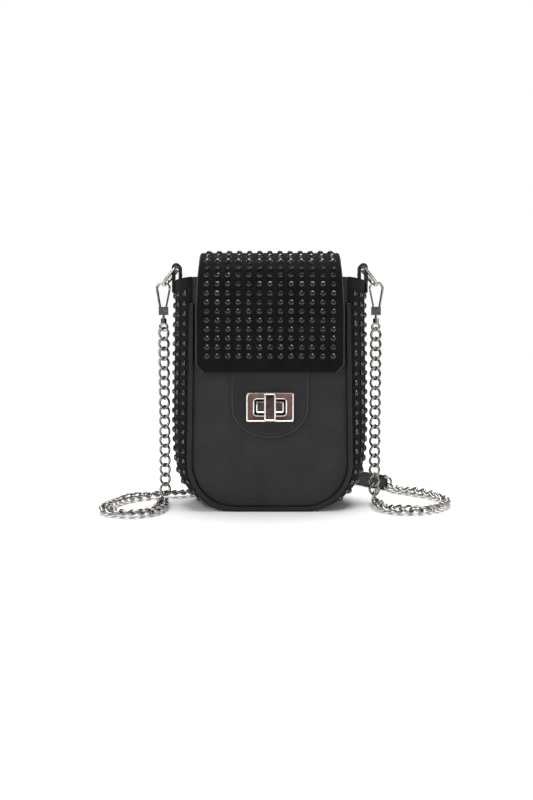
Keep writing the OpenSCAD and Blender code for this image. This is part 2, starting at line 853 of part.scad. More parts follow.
// A rivet through each folded end
module strap_rivets() {
  cap_r = 2.2;
  cap_t = 0.7;
  color([0.7, 0.7, 0.72])
    for (end = [[STRAP_START, STRAP_HEADING], [strap_end[0], strap_end[1] + 180]])
      translate([end[0][0], end[0][1], strap_w / 2]) rotate([0, 0, end[1]])
        for (s = [-1, 1])
          translate([12, s * strap_t / 2, 0]) rotate([-s * 90, 0, 0])
            cylinder(r = cap_r, h = cap_t);
}

// ---- Left and right copies ------------------------------------------------------------------

module on_left() {
  mirror([1, 0, 0]) children();
}

module right_ring_tab() ring_tab();
module left_ring_tab() on_left() ring_tab();
module right_ring() ring();
module left_ring() on_left() ring();
module right_hook() hook();
module left_hook() on_left() hook();
module right_hook_gate() hook_gate();
module left_hook_gate() on_left() hook_gate();
module right_hook_pin() hook_pin();
module left_hook_pin() on_left() hook_pin();
module right_hook_spring() hook_spring();
module left_hook_spring() on_left() hook_spring();
module right_swivel() swivel();
module left_swivel() on_left() swivel();
module right_hanging_chain() hanging_chain();
module left_hanging_chain() on_left() hanging_chain();

front_panel();
front_board();
front_lining();
front_binding();
back_panel();
back_board();
back_lining();
back_binding();
card_pocket();
gusset();
gusset_lining();
base_board();
gusset_studs_left();
gusset_studs_right();
left_ring_tab();
right_ring_tab();
lock_base();
lock_washer();
flap_anchor();
flap();
flap_lining();
flap_studs();
tongue();
lock_frame();
lock_frame_plate();
lock_knob();
lock_clip();
left_ring();
left_hook();
left_hook_gate();
left_hook_pin();
left_hook_spring();
left_swivel();
left_hanging_chain();
right_ring();
right_hook();
right_hook_gate();
right_hook_pin();
right_hook_spring();
right_swivel();
right_hanging_chain();
left_ground_chain();
right_ground_chain();
shoulder_strap();
left_strap_ring();
right_strap_ring();
strap_rivets();
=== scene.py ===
"""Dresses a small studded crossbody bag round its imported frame.

The bag stands on its base with its front towards -Y. Its chain strap hangs from a hook at each top
corner, lies in a loop on the ground at each side and meets a leather shoulder piece behind the bag.
Sizes are in millimetres in the classes and turn into metres where a mesh is made.
"""

from __future__ import annotations

import logging
import math
from collections.abc import Callable, Sequence
from dataclasses import dataclass, field
from enum import Enum

import bmesh
import bpy
from mathutils import Matrix, Vector, noise


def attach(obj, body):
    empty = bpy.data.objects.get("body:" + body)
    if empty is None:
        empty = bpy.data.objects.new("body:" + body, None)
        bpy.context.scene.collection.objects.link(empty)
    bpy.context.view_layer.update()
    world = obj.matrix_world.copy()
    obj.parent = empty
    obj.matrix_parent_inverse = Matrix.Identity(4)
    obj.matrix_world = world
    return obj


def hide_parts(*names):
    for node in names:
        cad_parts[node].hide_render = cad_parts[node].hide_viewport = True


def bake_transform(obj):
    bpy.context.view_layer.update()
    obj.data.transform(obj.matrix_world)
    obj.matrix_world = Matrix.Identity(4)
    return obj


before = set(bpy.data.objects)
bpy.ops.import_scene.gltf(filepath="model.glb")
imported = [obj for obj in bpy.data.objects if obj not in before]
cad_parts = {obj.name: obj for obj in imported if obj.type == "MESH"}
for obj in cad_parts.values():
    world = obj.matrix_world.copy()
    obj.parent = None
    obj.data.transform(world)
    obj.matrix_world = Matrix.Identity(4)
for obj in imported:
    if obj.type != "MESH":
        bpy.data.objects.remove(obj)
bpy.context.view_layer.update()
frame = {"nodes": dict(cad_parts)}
MM = 0.001
LOG = logging.getLogger("bag")
Plan = tuple[float, float]


def add_object(name: str, data: bpy.types.ID) -> bpy.types.Object:
    """Puts a new object with this data in the scene.

    Args:
        name: The object's name.
        data: Its mesh, camera or light.

    Returns:
        The object.
    """
    made = bpy.data.objects.new(name, data)
    bpy.context.scene.collection.objects.link(made)
    return made


# ---- Shader expressions ---------------------------------------------------------------------


class Nodes:
    """A node tree whose nodes are all added by one method."""

    tree: bpy.types.NodeTree

    def node(self, kind: str, settings: dict[str, object] | None = None,
             inputs: dict[str | int, object] | None = None) -> bpy.types.Node:
        """Adds a node, with its settings made before its sockets are filled.

        Args:
            kind: The node's type.
            settings: The node's own properties.
            inputs: Values, Value objects or sockets for its inputs, by name or number.

        Returns:
            The node.
        """
        made = self.tree.nodes.new(kind)
        for key, setting in (settings or {}).items():
            setattr(made, key, setting)
        for key, given in (inputs or {}).items():
            source = given.socket if isinstance(given, Value) else given
            if isinstance(source, bpy.types.NodeSocket):
                self.tree.links.new(source, made.inputs[key])
            else:
                made.inputs[key].default_value = source
        return made


class Value:
    """A number that varies over a surface; Python's operators on it add Math nodes."""

    def __init__(self, graph: Graph, socket: bpy.types.NodeSocket) -> None:
        """Wraps one output socket of a graph."""
        self.graph = graph
        self.socket = socket

    def _math(self, operation: str, *terms: Value | float) -> Value:
        """Adds a Math node.

        Args:
            operation: The node's operation.
            terms: What goes into its sockets, in order.

        Returns:
            The node's result.
        """
        made = self.graph.node("ShaderNodeMath", {"operation": operation}, dict(enumerate(terms)))
        return Value(self.graph, made.outputs[0])

    def __add__(self, other: Value | float) -> Value:
        """Adds."""
        return self._math("ADD", self, other)

    __radd__ = __add__

    def __sub__(self, other: Value | float) -> Value:
        """Subtracts."""
        return self._math("SUBTRACT", self, other)

    def __rsub__(self, other: Value | float) -> Value:
        """Subtracts from a number."""
        return self._math("SUBTRACT", other, self)

    def __mul__(self, other: Value | float) -> Value:
        """Multiplies."""
        return self._math("MULTIPLY", self, other)

    __rmul__ = __mul__

    def between(self, low: float, high: float) -> Value:
        """Gives 0 at low, 1 at high and a smooth step between them.

        Args:
            low: The value that becomes 0.
            high: The value that becomes 1.

        Returns:
            The stepped value.
        """
        made = self.graph.node(
            "ShaderNodeMapRange",
            {"interpolation_type": "SMOOTHSTEP"},
            {0: self, 1: low, 2: high, 3: 0.0, 4: 1.0},
        )
        return Value(self.graph, made.outputs[0])


class Graph(Nodes):
    """One material's nodes."""

    def __init__(self, name: str) -> None:
        """Starts a material with nothing but its output and its shader.

        Args:
            name: The material's name.
        """
        self.material = bpy.data.materials.new(name)
        self.material.use_nodes = True
        self.tree = self.material.node_tree
        self.tree.nodes.clear()
        self.output = self.node("ShaderNodeOutputMaterial")
        self.shader = self.node("ShaderNodeBsdfPrincipled")
        self.tree.links.new(self.shader.outputs[0], self.output.inputs[0])
        self.place = self.node("ShaderNodeTexCoord").outputs["Object"]

    def noise(self, size: float, detail: float = 2.0, rough: float = 0.5,
              stretch: Sequence[float] = (1, 1, 1)) -> Value:
        """Cloudy noise whose features are about size millimetres across.

        Args:
            size: The size of its features in millimetres.
            detail: How many finer layers it has.
            rough: How strong the finer layers are.
            stretch: The scale along each axis.

        Returns:
            The noise, from 0 to 1.
        """
        moved = self.node("ShaderNodeMapping", None, {
            "Vector": self.place, "Scale": tuple(stretch)})
        made = self.node("ShaderNodeTexNoise", None, {
            "Vector": moved.outputs[0], "Scale": 1 / (size * MM), "Detail": detail,
            "Roughness": rough})
        return Value(self, made.outputs[0])

    def cells(self, size: float) -> Value:
        """Irregular cells about size millimetres across, from the distance to their edges.

        Args:
            size: The cells' size in millimetres.

        Returns:
            The distance from the nearest edge.
        """
        warp = self.node("ShaderNodeTexNoise", None, {
            "Vector": self.place, "Scale": 0.6 / (size * MM), "Detail": 2.0})
        bent = self.node("ShaderNodeVectorMath", {"operation": "SCALE"}, {
            0: warp.outputs["Color"], "Scale": 0.55 * size * MM})
        moved = self.node("ShaderNodeVectorMath", {"operation": "ADD"}, {
            0: self.place, 1: bent.outputs[0]})
        made = self.node("ShaderNodeTexVoronoi", {"feature": "DISTANCE_TO_EDGE"}, {
            "Vector": moved.outputs[0], "Scale": 1 / (size * MM)})
        return Value(self, made.outputs["Distance"])

    def bands(self, pitch: float, axis: str, warp: float) -> Value:
        """Even bands pitch millimetres apart.

        Args:
            pitch: The distance between bands in millimetres.
            axis: The direction that they follow.
            warp: How much they waver.

        Returns:
            The bands, from 0 to 1.
        """
        made = self.node("ShaderNodeTexWave", {"bands_direction": axis}, {
            "Vector": self.place, "Scale": math.pi / (10 * pitch * MM), "Distortion": warp})
        return Value(self, made.outputs[1])

    def blend(self, low: Sequence[float], high: Sequence[float] | bpy.types.NodeSocket,
              share: Value) -> bpy.types.NodeSocket:
        """Mixes two colours by a share from 0 to 1.

        Args:
            low: The colour at 0.
            high: The colour at 1.
            share: The share of the second colour.

        Returns:
            The mixed colour.
        """
        given = high if isinstance(high, bpy.types.NodeSocket) else (*high, 1.0)
        first = low if isinstance(low, bpy.types.NodeSocket) else (*low, 1.0)
        made = self.node("ShaderNodeMix", {"data_type": "RGBA"}, {0: share, 6: first, 7: given})
        return made.outputs[2]

    def dress(self, base: bpy.types.NodeSocket, rough: Value | float, height: Value,
              depth: float, **fixed: object) -> bpy.types.Material:
        """Joins colour, roughness and relief to the shader.

        Args:
            base: The colour.
            rough: The roughness.
            height: The relief, from 0 to 1.
            depth: The relief's depth in millimetres.
            fixed: The shader's constant sockets, with spaces written as underscores.

        Returns:
            The finished material.
        """
        bump = self.node("ShaderNodeBump", None, {
            "Height": height, "Distance": depth * MM, "Strength": 1.0})
        links = {"Base Color": base, "Roughness": rough, "Normal": bump.outputs[0]}
        for name, source in links.items():
            socket = source.socket if isinstance(source, Value) else source
            if isinstance(socket, bpy.types.NodeSocket):
                self.tree.links.new(socket, self.shader.inputs[name])
            else:
                self.shader.inputs[name].default_value = socket
        for name, number in fixed.items():
            self.shader.inputs[name.replace("_", " ")].default_value = number
        return self.material


# ---- Finishes -------------------------------------------------------------------------------


@dataclass(frozen=True)
class Leather:
    """Smooth coated leather with a fine pebble, faint pores and a soft shine."""

    name: str
    low: tuple[float, float, float] = (0.0085, 0.0085, 0.0085)
    high: tuple[float, float, float] = (0.017, 0.0168, 0.0163)
    grain: float = 0.9
    depth: float = 0.05
    rough: float = 0.5

    def build(self) -> bpy.types.Material:
        """Makes the material.

        Returns:
            The material.
        """
        g = Graph(self.name)
        pebble = g.cells(self.grain).between(0.0, 0.16)
        cloud = g.noise(22, 3)
        scuff = g.noise(1.6, 5, 0.65).between(0.55, 0.78)
        fine = g.noise(0.35, 3)
        colour = g.blend(self.low, self.high, cloud.between(0.3, 0.7) * 0.7 + pebble * 0.3)
        worn = g.blend(colour, (0.03, 0.03, 0.029), scuff * 0.22)
        rough = self.rough + cloud * 0.1 + scuff * 0.06 - pebble * 0.05
        return g.dress(worn, rough, pebble * 0.75 + fine * 0.25, self.depth,
                       Specular_IOR_Level=0.3, Coat_Weight=0.05, Coat_Roughness=0.3)


@dataclass(frozen=True)
class Suede:
    """Brushed suede: a fine nap with patches where it lies another way."""

    name: str
    low: tuple[float, float, float] = (0.002, 0.002, 0.0021)
    high: tuple[float, float, float] = (0.009, 0.0088, 0.0088)
    depth: float = 0.16

    def build(self) -> bpy.types.Material:
        """Makes the material.

        Returns:
            The material.
        """
        g = Graph(self.name)
        nap = g.noise(0.32, 6, 0.7, (1, 1, 0.45))
        brushed = g.noise(9, 4, 0.6, (1, 1, 0.5))
        colour = g.blend(self.low, self.high, nap * 0.6 + brushed.between(0.35, 0.7) * 0.4)
        return g.dress(colour, 0.86 + nap * 0.12, nap * 0.8 + brushed * 0.2, self.depth,
                       Specular_IOR_Level=0.08, Sheen_Weight=0.03, Sheen_Roughness=0.6)


@dataclass(frozen=True)
class CutEdge:
    """The raw or painted edge of cut leather, with fibres along it."""

    name: str
    low: tuple[float, float, float]
    high: tuple[float, float, float]

    def build(self) -> bpy.types.Material:
        """Makes the material.

        Returns:
            The material.
        """
        g = Graph(self.name)
        fibre = g.noise(0.4, 5, 0.7, (1, 1, 0.3))
        return g.dress(g.blend(self.low, self.high, fibre), 0.6 + fibre * 0.2, fibre, 0.06,
                       Specular_IOR_Level=0.3)


@dataclass(frozen=True)
class Metal:
    """Plated metal with fine scratches and handling marks that dull it in patches."""

    name: str
    bright: tuple[float, float, float] = (0.66, 0.635, 0.60)
    dull: tuple[float, float, float] = (0.40, 0.375, 0.345)
    rough: float = 0.13
    wear: float = 0.5

    def build(self) -> bpy.types.Material:
        """Makes the material.

        Returns:
            The material.
        """
        g = Graph(self.name)
        smudge = g.noise(3.2, 4, 0.6)
        scratch = g.noise(0.5, 5, 0.7, (1, 0.15, 0.6)).between(0.56, 0.7)
        colour = g.blend(self.bright, self.dull, smudge.between(0.45, 0.8) * self.wear)
        rough = self.rough + smudge.between(0.4, 0.8) * 0.12 + scratch * 0.08
        return g.dress(colour, rough, 1 - scratch, 0.012, Metallic=1.0)


@dataclass(frozen=True)
class Stone:
    """Black glass with hard facets and a faint haze where it has been handled."""

    name: str
    low: tuple[float, float, float] = (0.0025, 0.0025, 0.003)
    high: tuple[float, float, float] = (0.011, 0.011, 0.013)

    def build(self) -> bpy.types.Material:
        """Makes the material.

        Returns:
            The material.
        """
        g = Graph(self.name)
        haze = g.noise(2.4, 3)
        colour = g.blend(self.low, self.high, haze)
        return g.dress(colour, 0.12 + haze.between(0.5, 0.8) * 0.12, g.noise(0.8, 2), 0.008,
                       Specular_IOR_Level=0.45, Coat_Weight=0.25, Coat_Roughness=0.08)


@dataclass(frozen=True)
class Twill:
    """Woven lining cloth with a diagonal rib."""

    name: str
    low: tuple[float, float, float] = (0.012, 0.012, 0.013)
    high: tuple[float, float, float] = (0.034, 0.034, 0.037)
    pitch: float = 0.7

    def build(self) -> bpy.types.Material:
        """Makes the material.

        Returns:
            The material.
        """
        g = Graph(self.name)
        rib = g.bands(self.pitch, "DIAGONAL", 0.4)
        yarn = g.bands(self.pitch * 0.62, "Z", 0.5)
        fold = g.noise(14, 3)
        weave = rib * 0.65 + yarn * 0.35
        colour = g.blend(self.low, self.high, weave * 0.6 + fold * 0.4)
        return g.dress(colour, 0.7 + fold * 0.12, weave, 0.08,
                       Specular_IOR_Level=0.3, Sheen_Weight=0.15)


@dataclass(frozen=True)
class Pressed:
    """Grey-brown fibre board, as in the stiffening of the panels."""

    name: str

    def build(self) -> bpy.types.Material:
        """Makes the material.

        Returns:
            The material.
        """
        g = Graph(self.name)
        fibre = g.noise(0.9, 6, 0.75, (0.4, 1, 1))
        return g.dress(g.blend((0.26, 0.2, 0.13), (0.42, 0.34, 0.24), fibre),
                       0.85 + fibre * 0.1, fibre, 0.05)


@dataclass(frozen=True)
class Thread:
    """Bonded sewing thread with its twist."""

    name: str
    colour: tuple[float, float, float] = (0.016, 0.016, 0.017)

    def build(self) -> bpy.types.Material:
        """Makes the material.

        Returns:
            The material.
        """
        g = Graph(self.name)
        twist = g.bands(0.3, "DIAGONAL", 0.3)
        lighter = tuple(3 * c for c in self.colour)
        return g.dress(g.blend(self.colour, lighter, twist), 0.5 + twist * 0.1, twist, 0.04,
                       Specular_IOR_Level=0.35)


@dataclass(frozen=True)
class Floor:
    """A plain pale studio floor with the faintest unevenness."""

    name: str = "studio_floor"
    tone: float = 0.93

    def build(self) -> bpy.types.Material:
        """Makes the material.

        Returns:
            The material.
        """
        g = Graph(self.name)
        cloud = g.noise(260, 2)
        low = (self.tone - 0.015,) * 3
        return g.dress(g.blend(low, (self.tone,) * 3, cloud), 0.8 + cloud * 0.05, cloud, 0.01,
                       Specular_IOR_Level=0.1)


class Finish(Enum):
    """The finishes used on the bag."""

    PANEL = Leather("panel_leather")
    TONGUE = Leather("tongue_leather", low=(0.005, 0.005, 0.005), high=(0.011, 0.011, 0.0105),
                     grain=0.7, depth=0.035, rough=0.5)
    # a lighter leather painted on the tongue's rim as the highlight along its edge
    TONGUE_EDGE_HIGHLIGHT = Leather("tongue_edge_painted_highlight", low=(0.03, 0.03, 0.029), high=(0.06, 0.058, 0.055),
                          grain=0.5, depth=0.02, rough=0.34)
    BINDING = Leather("binding_leather", low=(0.003, 0.003, 0.003), high=(0.008, 0.008, 0.008),
                      grain=0.6, depth=0.04, rough=0.33)
    STRAP = Leather("strap_leather", low=(0.004, 0.004, 0.004), high=(0.009, 0.009, 0.0087),
                    grain=0.8, depth=0.05, rough=0.5)
    SUEDE = Suede("black_suede")
    RAW_EDGE = CutEdge("raw_edge", (0.03, 0.017, 0.015), (0.11, 0.066, 0.056))
    PAINTED_EDGE = CutEdge("painted_edge", (0.012, 0.012, 0.012), (0.034, 0.033, 0.032))
    CHAIN = Metal("chain_nickel", bright=(0.36, 0.34, 0.32), dull=(0.13, 0.12, 0.108),
                  wear=0.85, rough=0.14)
    LOCK = Metal("lock_chrome", bright=(0.78, 0.755, 0.74), dull=(0.58, 0.53, 0.51), rough=0.07)
    # a dull pink-brown metal painted on the frame's sunk face as the pinkish reflection on the
    # chrome
    LOCK_PAINTED_REFLECTION = Metal("lock_face_painted_reflection", bright=(0.17, 0.098, 0.085),
                      dull=(0.09, 0.05, 0.044), rough=0.3, wear=0.7)
    # a dark metal painted on the lock's sunk faces as painted shade and dark reflection
    LOCK_PAINTED_SHADE = Metal("lock_face_painted_shade", bright=(0.07, 0.052, 0.05), dull=(0.03, 0.024, 0.023),
                      rough=0.2, wear=0.7)
    HARDWARE = Metal("hardware_nickel", bright=(0.5, 0.475, 0.45), dull=(0.26, 0.24, 0.22),
                     rough=0.1, wear=0.7)
    SETTING = Metal("stone_setting", bright=(0.09, 0.09, 0.095), dull=(0.04, 0.04, 0.045),
                    rough=0.25)
    STONE = Stone("black_stone")
    TWILL = Twill("lining_twill")
    BOARD = Pressed("fibre_board")
    THREAD = Thread("black_thread")
    FLOOR = Floor()

    def material(self) -> bpy.types.Material:
        """Returns this finish's material, made once."""
        return bpy.data.materials.get(self.value.name) or self.value.build()


# ---- Meshes ---------------------------------------------------------------------------------


class Shape:
    """Rows of points, in millimetres, that are joined into one mesh."""

    def __init__(self, name: str, *finishes: Finish) -> None:
        """Starts an empty shape with the finishes that its faces use.

        Args:
            name: The shape's name.
            finishes: Its finishes, in the order of their numbers.
        """
        self.name = name
        self.finishes = finishes
        self.points: list[Vector] = []
        self.faces: list[tuple[int, ...]] = []
        self.marks: list[int] = []

    def rows(self, rows: Sequence[Sequence[Vector]], loop: bool = True, ring: bool = False,
             caps: bool = False, mark: Callable[[int, int], int] | int = 0) -> Shape:
        """Joins rows that have the same number of points.

        Args:
            rows: The rows of points.
            loop: Whether each row closes on itself.
            ring: Whether the last row joins the first.
            caps: Whether the first and last rows are filled.
            mark: The finish's number, or a function of the row and the place in it.

        Returns:
            The shape itself.
        """
        def number(r: int, c: int) -> int:
            """Gives the number of one face's finish."""
            return mark if isinstance(mark, int) else mark(r, c)

        start, count = len(self.points), len(rows[0])
        for row in rows:
            self.points.extend(row)
        for r in range(len(rows) - (0 if ring else 1)):
            here, there = start + r * count, start + (r + 1) % len(rows) * count
            for c in range(count - (0 if loop else 1)):
                d = (c + 1) % count
                self.faces.append((here + c, there + c, there + d, here + d))
                self.marks.append(number(r, c))
        if caps:
            last = start + (len(rows) - 1) * count
            self.faces.append(tuple(range(start, start + count)))
            self.faces.append(tuple(range(last + count - 1, last - 1, -1)))
            self.marks.extend((number(0, 0), number(len(rows) - 1, 0)))
        return self

    def build(self, angle: float = 50.0) -> bpy.types.Object:
        """Makes the object, its faces outwards and its edges sharp past an angle in degrees.

        Args:
            angle: Edges sharper than this stay sharp, in degrees.

        Returns:
            The object.
        """
        mesh = bpy.data.meshes.new(self.name)
        work = bmesh.new()
        corners = [work.verts.new(p * MM) for p in self.points]
        work.verts.ensure_lookup_table()
        for face, mark in zip(self.faces, self.marks):
            made = work.faces.new([corners[i] for i in face])
            made.material_index = mark
            made.smooth = True
        bmesh.ops.remove_doubles(work, verts=work.verts, dist=1e-6)
        bmesh.ops.recalc_face_normals(work, faces=work.faces)
        bmesh.ops.triangulate(work, faces=[f for f in work.faces if len(f.verts) > 4])
        work.to_mesh(mesh)
        work.free()
        mesh.set_sharp_from_angle(angle=math.radians(angle))
        for finish in self.finishes:
            mesh.materials.append(finish.material())
        return add_object(self.name, mesh)


def finished(piece: bpy.types.Object, body: str, slot: str, *nodes: str) -> bpy.types.Object:
    """Lets a piece ride on a body, stand for its nodes and report itself.

    Args:
        piece: The object.
        body: The body it rides on.
        slot: Not used.
        nodes: The nodes of the frame that it stands for.

    Returns:
        The object.
    """
    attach(piece, body)
    if nodes:
        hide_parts(*nodes)
    LOG.info("%s on %s: %d faces", piece.name, body, len(piece.data.polygons))
    return piece


def ripple(point: Vector, size: float, seed: float = 0.0) -> float:
    """Smooth noise from about -1 to 1 with features size millimetres across."""
    return noise.noise(point / size + Vector((seed, seed * 1.7, -seed)))


@dataclass
class Station:
    """One place along a strip: its middle, its face's direction, half its width and a shift."""

    middle: Vector
    face: Vector
    half: float
    side: Vector


class Strip:
    """A long flat piece of leather or cloth with rounded edges, swept through stations."""

    def __init__(self, name: str, thick: float, across: int, *finishes: Finish) -> None:
        """Sets the strip's thickness, the steps across it and its face and edge finishes.

        Args:
            name: The strip's name.
            thick: Its thickness.
            across: The number of steps across it.
            finishes: The finish of its faces, and of its edges if that is another.
        """
        self.name = name
        self.thick = thick
        self.across = across
        self.finishes = finishes

    def ring(self, at: Station, share: float = 1.0, swell: Callable[[Vector], float] | None = None,
             ) -> list[Vector]:
        """Makes the outline of one section.

        Args:
            at: The station.
            share: How much of the full thickness it has.
            swell: How far the outer face stands out of its place at a point.

        Returns:
            The section's points, in order round it.
        """
        t = self.thick / 2 * share
        flat = at.half - t
        upper = [at.middle + at.side * (flat * (2 * i / self.across - 1)) for i in
                 range(self.across + 1)]
        outer = [p + at.face * (t + (swell(p) if swell else 0.0)) for p in upper]
        inner = [p - at.face * t for p in reversed(upper)]
        turn = [math.radians(a) for a in (60, 20, -20, -60)]
        right = [at.middle + at.side * (flat + t * math.cos(a)) + at.face * (t * math.sin(a))
                 for a in turn]
        left = [at.middle - at.side * (flat + t * math.cos(a)) + at.face * (t * math.sin(a))
                for a in reversed(turn)]
        return outer + right + inner + left

    def build(self, stations: Sequence[Station], swell: Callable[[Vector], float] | None = None,
              blunt: tuple[bool, bool] = (True, True)) -> bpy.types.Object:
        """Sweeps the section through the stations and rounds its ends.

        Args:
            stations: The places in order.
            swell: How far the outer face stands out at a point.
            blunt: Whether each end is rounded off.

        Returns:
            The object.
        """
        rows: list[list[Vector]] = []
        t = self.thick / 2
        for end, (first, second) in enumerate(((stations[0], stations[1]),
                                              (stations[-1], stations[-2]))):
            away = (first.middle - second.middle).normalized()
            caps = []
            if blunt[end]:
                for push, share in ((0.97, 0.24), (0.7, 0.7)):
                    moved = Station(first.middle + away * (t * push), first.face,
                                    first.half - t * (1 - share), first.side)
                    caps.append(self.ring(moved, share))
            rows = rows + [self.ring(s, 1.0, swell) for s in stations] if end == 0 else rows
            rows = caps + rows if end == 0 else rows + caps[::-1]
        wide = self.across + 1

        def mark(r: int, c: int) -> int:
            """Tells a face of the edge from one of the flat sides."""
            on_edge = wide <= c + 1 < wide + 5 or c + 1 >= 2 * wide + 4
            return int(on_edge and len(self.finishes) > 1)

        return Shape(self.name, *self.finishes).rows(rows, caps=True, mark=mark).build()


# ---- What repeats ---------------------------------------------------------------------------


@dataclass
class Spot:
    """A place for one copy: its point in millimetres and its three axes."""

    point: Vector
    along: Vector
    up: Vector

    def turn(self) -> Vector:
        """Gives the rotation that brings X to along and Z to up, as angles in radians.

        Returns:
            The three angles.
        """
        x = self.along.normalized()
        z = (self.up - x * self.up.dot(x)).normalized()
        y = z.cross(x)
        return Vector(Matrix((x, y, z)).transposed().to_euler("XYZ"))


class Repeat(Nodes):
    """Copies one small pattern shape to many places with Geometry Nodes."""

    def __init__(self, name: str, sizes: dict[str, float]) -> None:
        """Starts a tree that has named inputs for the pattern's sizes.

        Args:
            name: The tree's name.
            sizes: The inputs' names with their sizes in millimetres.
        """
        self.tree = bpy.data.node_groups.new(name, "GeometryNodeTree")
        face = self.tree.interface
        face.new_socket("Places", in_out="INPUT", socket_type="NodeSocketGeometry")
        self.keys: dict[str, tuple[str, float]] = {}
        for label, size in sizes.items():
            made = face.new_socket(label, in_out="INPUT", socket_type="NodeSocketFloat")
            self.keys[label] = (made.identifier, size)
        self.seed_key = face.new_socket("Seed", in_out="INPUT",
                                        socket_type="NodeSocketInt").identifier
        face.new_socket("Pieces", in_out="OUTPUT", socket_type="NodeSocketGeometry")
        self.inputs = self.tree.nodes.new("NodeGroupInput")

    def size(self, label: str) -> bpy.types.NodeSocket:
        """Returns a named input's socket inside the tree."""
        return self.inputs.outputs[label]

    def math(self, operation: str, *terms: bpy.types.NodeSocket | float) -> bpy.types.NodeSocket:
        """Adds a Math node and gives its result."""
        made = self.node("ShaderNodeMath", {"operation": operation}, dict(enumerate(terms)))
        return made.outputs[0]

    def times(self, socket: bpy.types.NodeSocket,
              factor: bpy.types.NodeSocket | float) -> bpy.types.NodeSocket:
        """Multiplies a size by a number or by another size."""
        return self.math("MULTIPLY", socket, factor)

    def join(self, *parts: bpy.types.NodeSocket) -> bpy.types.NodeSocket:
        """Joins several geometries.

        Args:
            parts: The geometries.

        Returns:
            All of them as one.
        """
        made = self.node("GeometryNodeJoinGeometry")
        for part in parts:
            self.tree.links.new(part, made.inputs[0])
        return made.outputs[0]

    def painted(self, part: bpy.types.NodeSocket, finish: Finish) -> bpy.types.NodeSocket:
        """Gives a geometry its finish."""
        return self.node("GeometryNodeSetMaterial", None,
                         {"Geometry": part, "Material": finish.material()}).outputs[0]

    def cone(self, low: bpy.types.NodeSocket, high: bpy.types.NodeSocket,
             tall: bpy.types.NodeSocket, sides: int, lift: bpy.types.NodeSocket | None = None,
             ) -> bpy.types.NodeSocket:
        """Makes a closed cone frustum that starts at the origin or at a lift above it.

        Args:
            low: The lower radius.
            high: The upper radius.
            tall: The height.
            sides: The number of sides.
            lift: The height that it starts at.

        Returns:
            The cone.
        """
        made = self.node("GeometryNodeMeshCone", None, {
            "Vertices": sides, "Radius Bottom": low, "Radius Top": high, "Depth": tall})
        if lift is None:
            return made.outputs[0]
        raised = self.node("ShaderNodeCombineXYZ", None, {2: lift})
        return self.node("GeometryNodeTransform", None, {
            "Geometry": made.outputs[0], "Translation": raised.outputs[0]}).outputs[0]

    def finish(self, pattern: bpy.types.NodeSocket, spin: float = 0.0, smooth: bool = False,
               finish: Finish | None = None) -> None:
        """Ends the tree: copies the pattern to the places and makes the copies real.

        Args:
            pattern: The shape to copy.
            spin: How far each copy may turn about its own Z, in radians.
            smooth: Whether its faces are shaded smooth.
            finish: A finish for the whole of it, where its parts have none yet.
        """
        stored = self.node("GeometryNodeInputNamedAttribute",
                           {"data_type": "FLOAT_VECTOR"}, {"Name": "turn"})
        aimed = self.node("FunctionNodeEulerToRotation", None, {0: stored.outputs[0]}).outputs[0]
        chance = self.node("FunctionNodeRandomValue", {"data_type": "FLOAT"},
                           {"Min": -spin, "Max": spin, "Seed": self.size("Seed")})
        about = self.node("ShaderNodeCombineXYZ", None, {2: chance.outputs[1]})
        small = self.node("FunctionNodeEulerToRotation", None, {0: about.outputs[0]})
        turned = self.node("FunctionNodeRotateRotation", {"rotation_space": "LOCAL"},
                           {0: aimed, 1: small.outputs[0]})
        copies = self.node("GeometryNodeInstanceOnPoints", None, {
            "Points": self.size("Places"), "Instance": pattern, "Rotation": turned.outputs[0]})
        real = self.node("GeometryNodeRealizeInstances", None, {0: copies.outputs[0]}).outputs[0]
        shaded = self.node("GeometryNodeSetShadeSmooth", None,
                           {"Geometry": real, "Shade Smooth": smooth}).outputs[0]
        if finish is not None:
            shaded = self.painted(shaded, finish)
        self.node("NodeGroupOutput", None, {0: shaded})

    def place(self, name: str, spots: Sequence[Spot], seed: int = 1) -> bpy.types.Object:
        """Runs the tree on a list of places.

        Args:
            name: The new piece's name.
            spots: Where the copies go.
            seed: The seed of the copies' small differences.

        Returns:
            One plain mesh object.
        """
        mesh = bpy.data.meshes.new(name + "_places")
        mesh.from_pydata([s.point * MM for s in spots], [], [])
        stored = mesh.attributes.new("turn", "FLOAT_VECTOR", "POINT")
        stored.data.foreach_set("vector", [c for s in spots for c in s.turn()])
        carrier = add_object(name + "_places", mesh)
        modifier = carrier.modifiers.new("copies", "NODES")
        modifier.node_group = self.tree
        for key, size in self.keys.values():
            modifier[key] = size * MM
        modifier[self.seed_key] = seed
        graph = bpy.context.evaluated_depsgraph_get()
        made = bpy.data.meshes.new_from_object(carrier.evaluated_get(graph), depsgraph=graph)
        made.name = name
        bpy.data.objects.remove(carrier)
        return add_object(name, made)


@dataclass
class StonePattern:
    """A faceted black stone in a shallow dark setting."""

    radius: float = 2.1
    height: float = 2.0

    def tree(self) -> Repeat:
        """Builds the tree that copies it.

        Returns:
            The tree.
        """
        rep = Repeat("stone", {"Radius": self.radius, "Height": self.height})
        r, h = rep.size("Radius"), rep.size("Height")
        cup = rep.painted(rep.cone(rep.times(r, 1.06), rep.times(r, 0.97), rep.times(h, 0.26), 12),
                          Finish.SETTING)
        girdle = rep.cone(rep.times(r, 0.95), rep.times(r, 0.86), rep.times(h, 0.42), 8,
                          rep.times(h, 0.16))
        crown = rep.cone(rep.times(r, 0.86), rep.times(r, 0.42), rep.times(h, 0.38), 8,
                         rep.times(h, 0.58))
        rep.finish(rep.join(cup, rep.painted(rep.join(girdle, crown), Finish.STONE)), math.pi)
        return rep


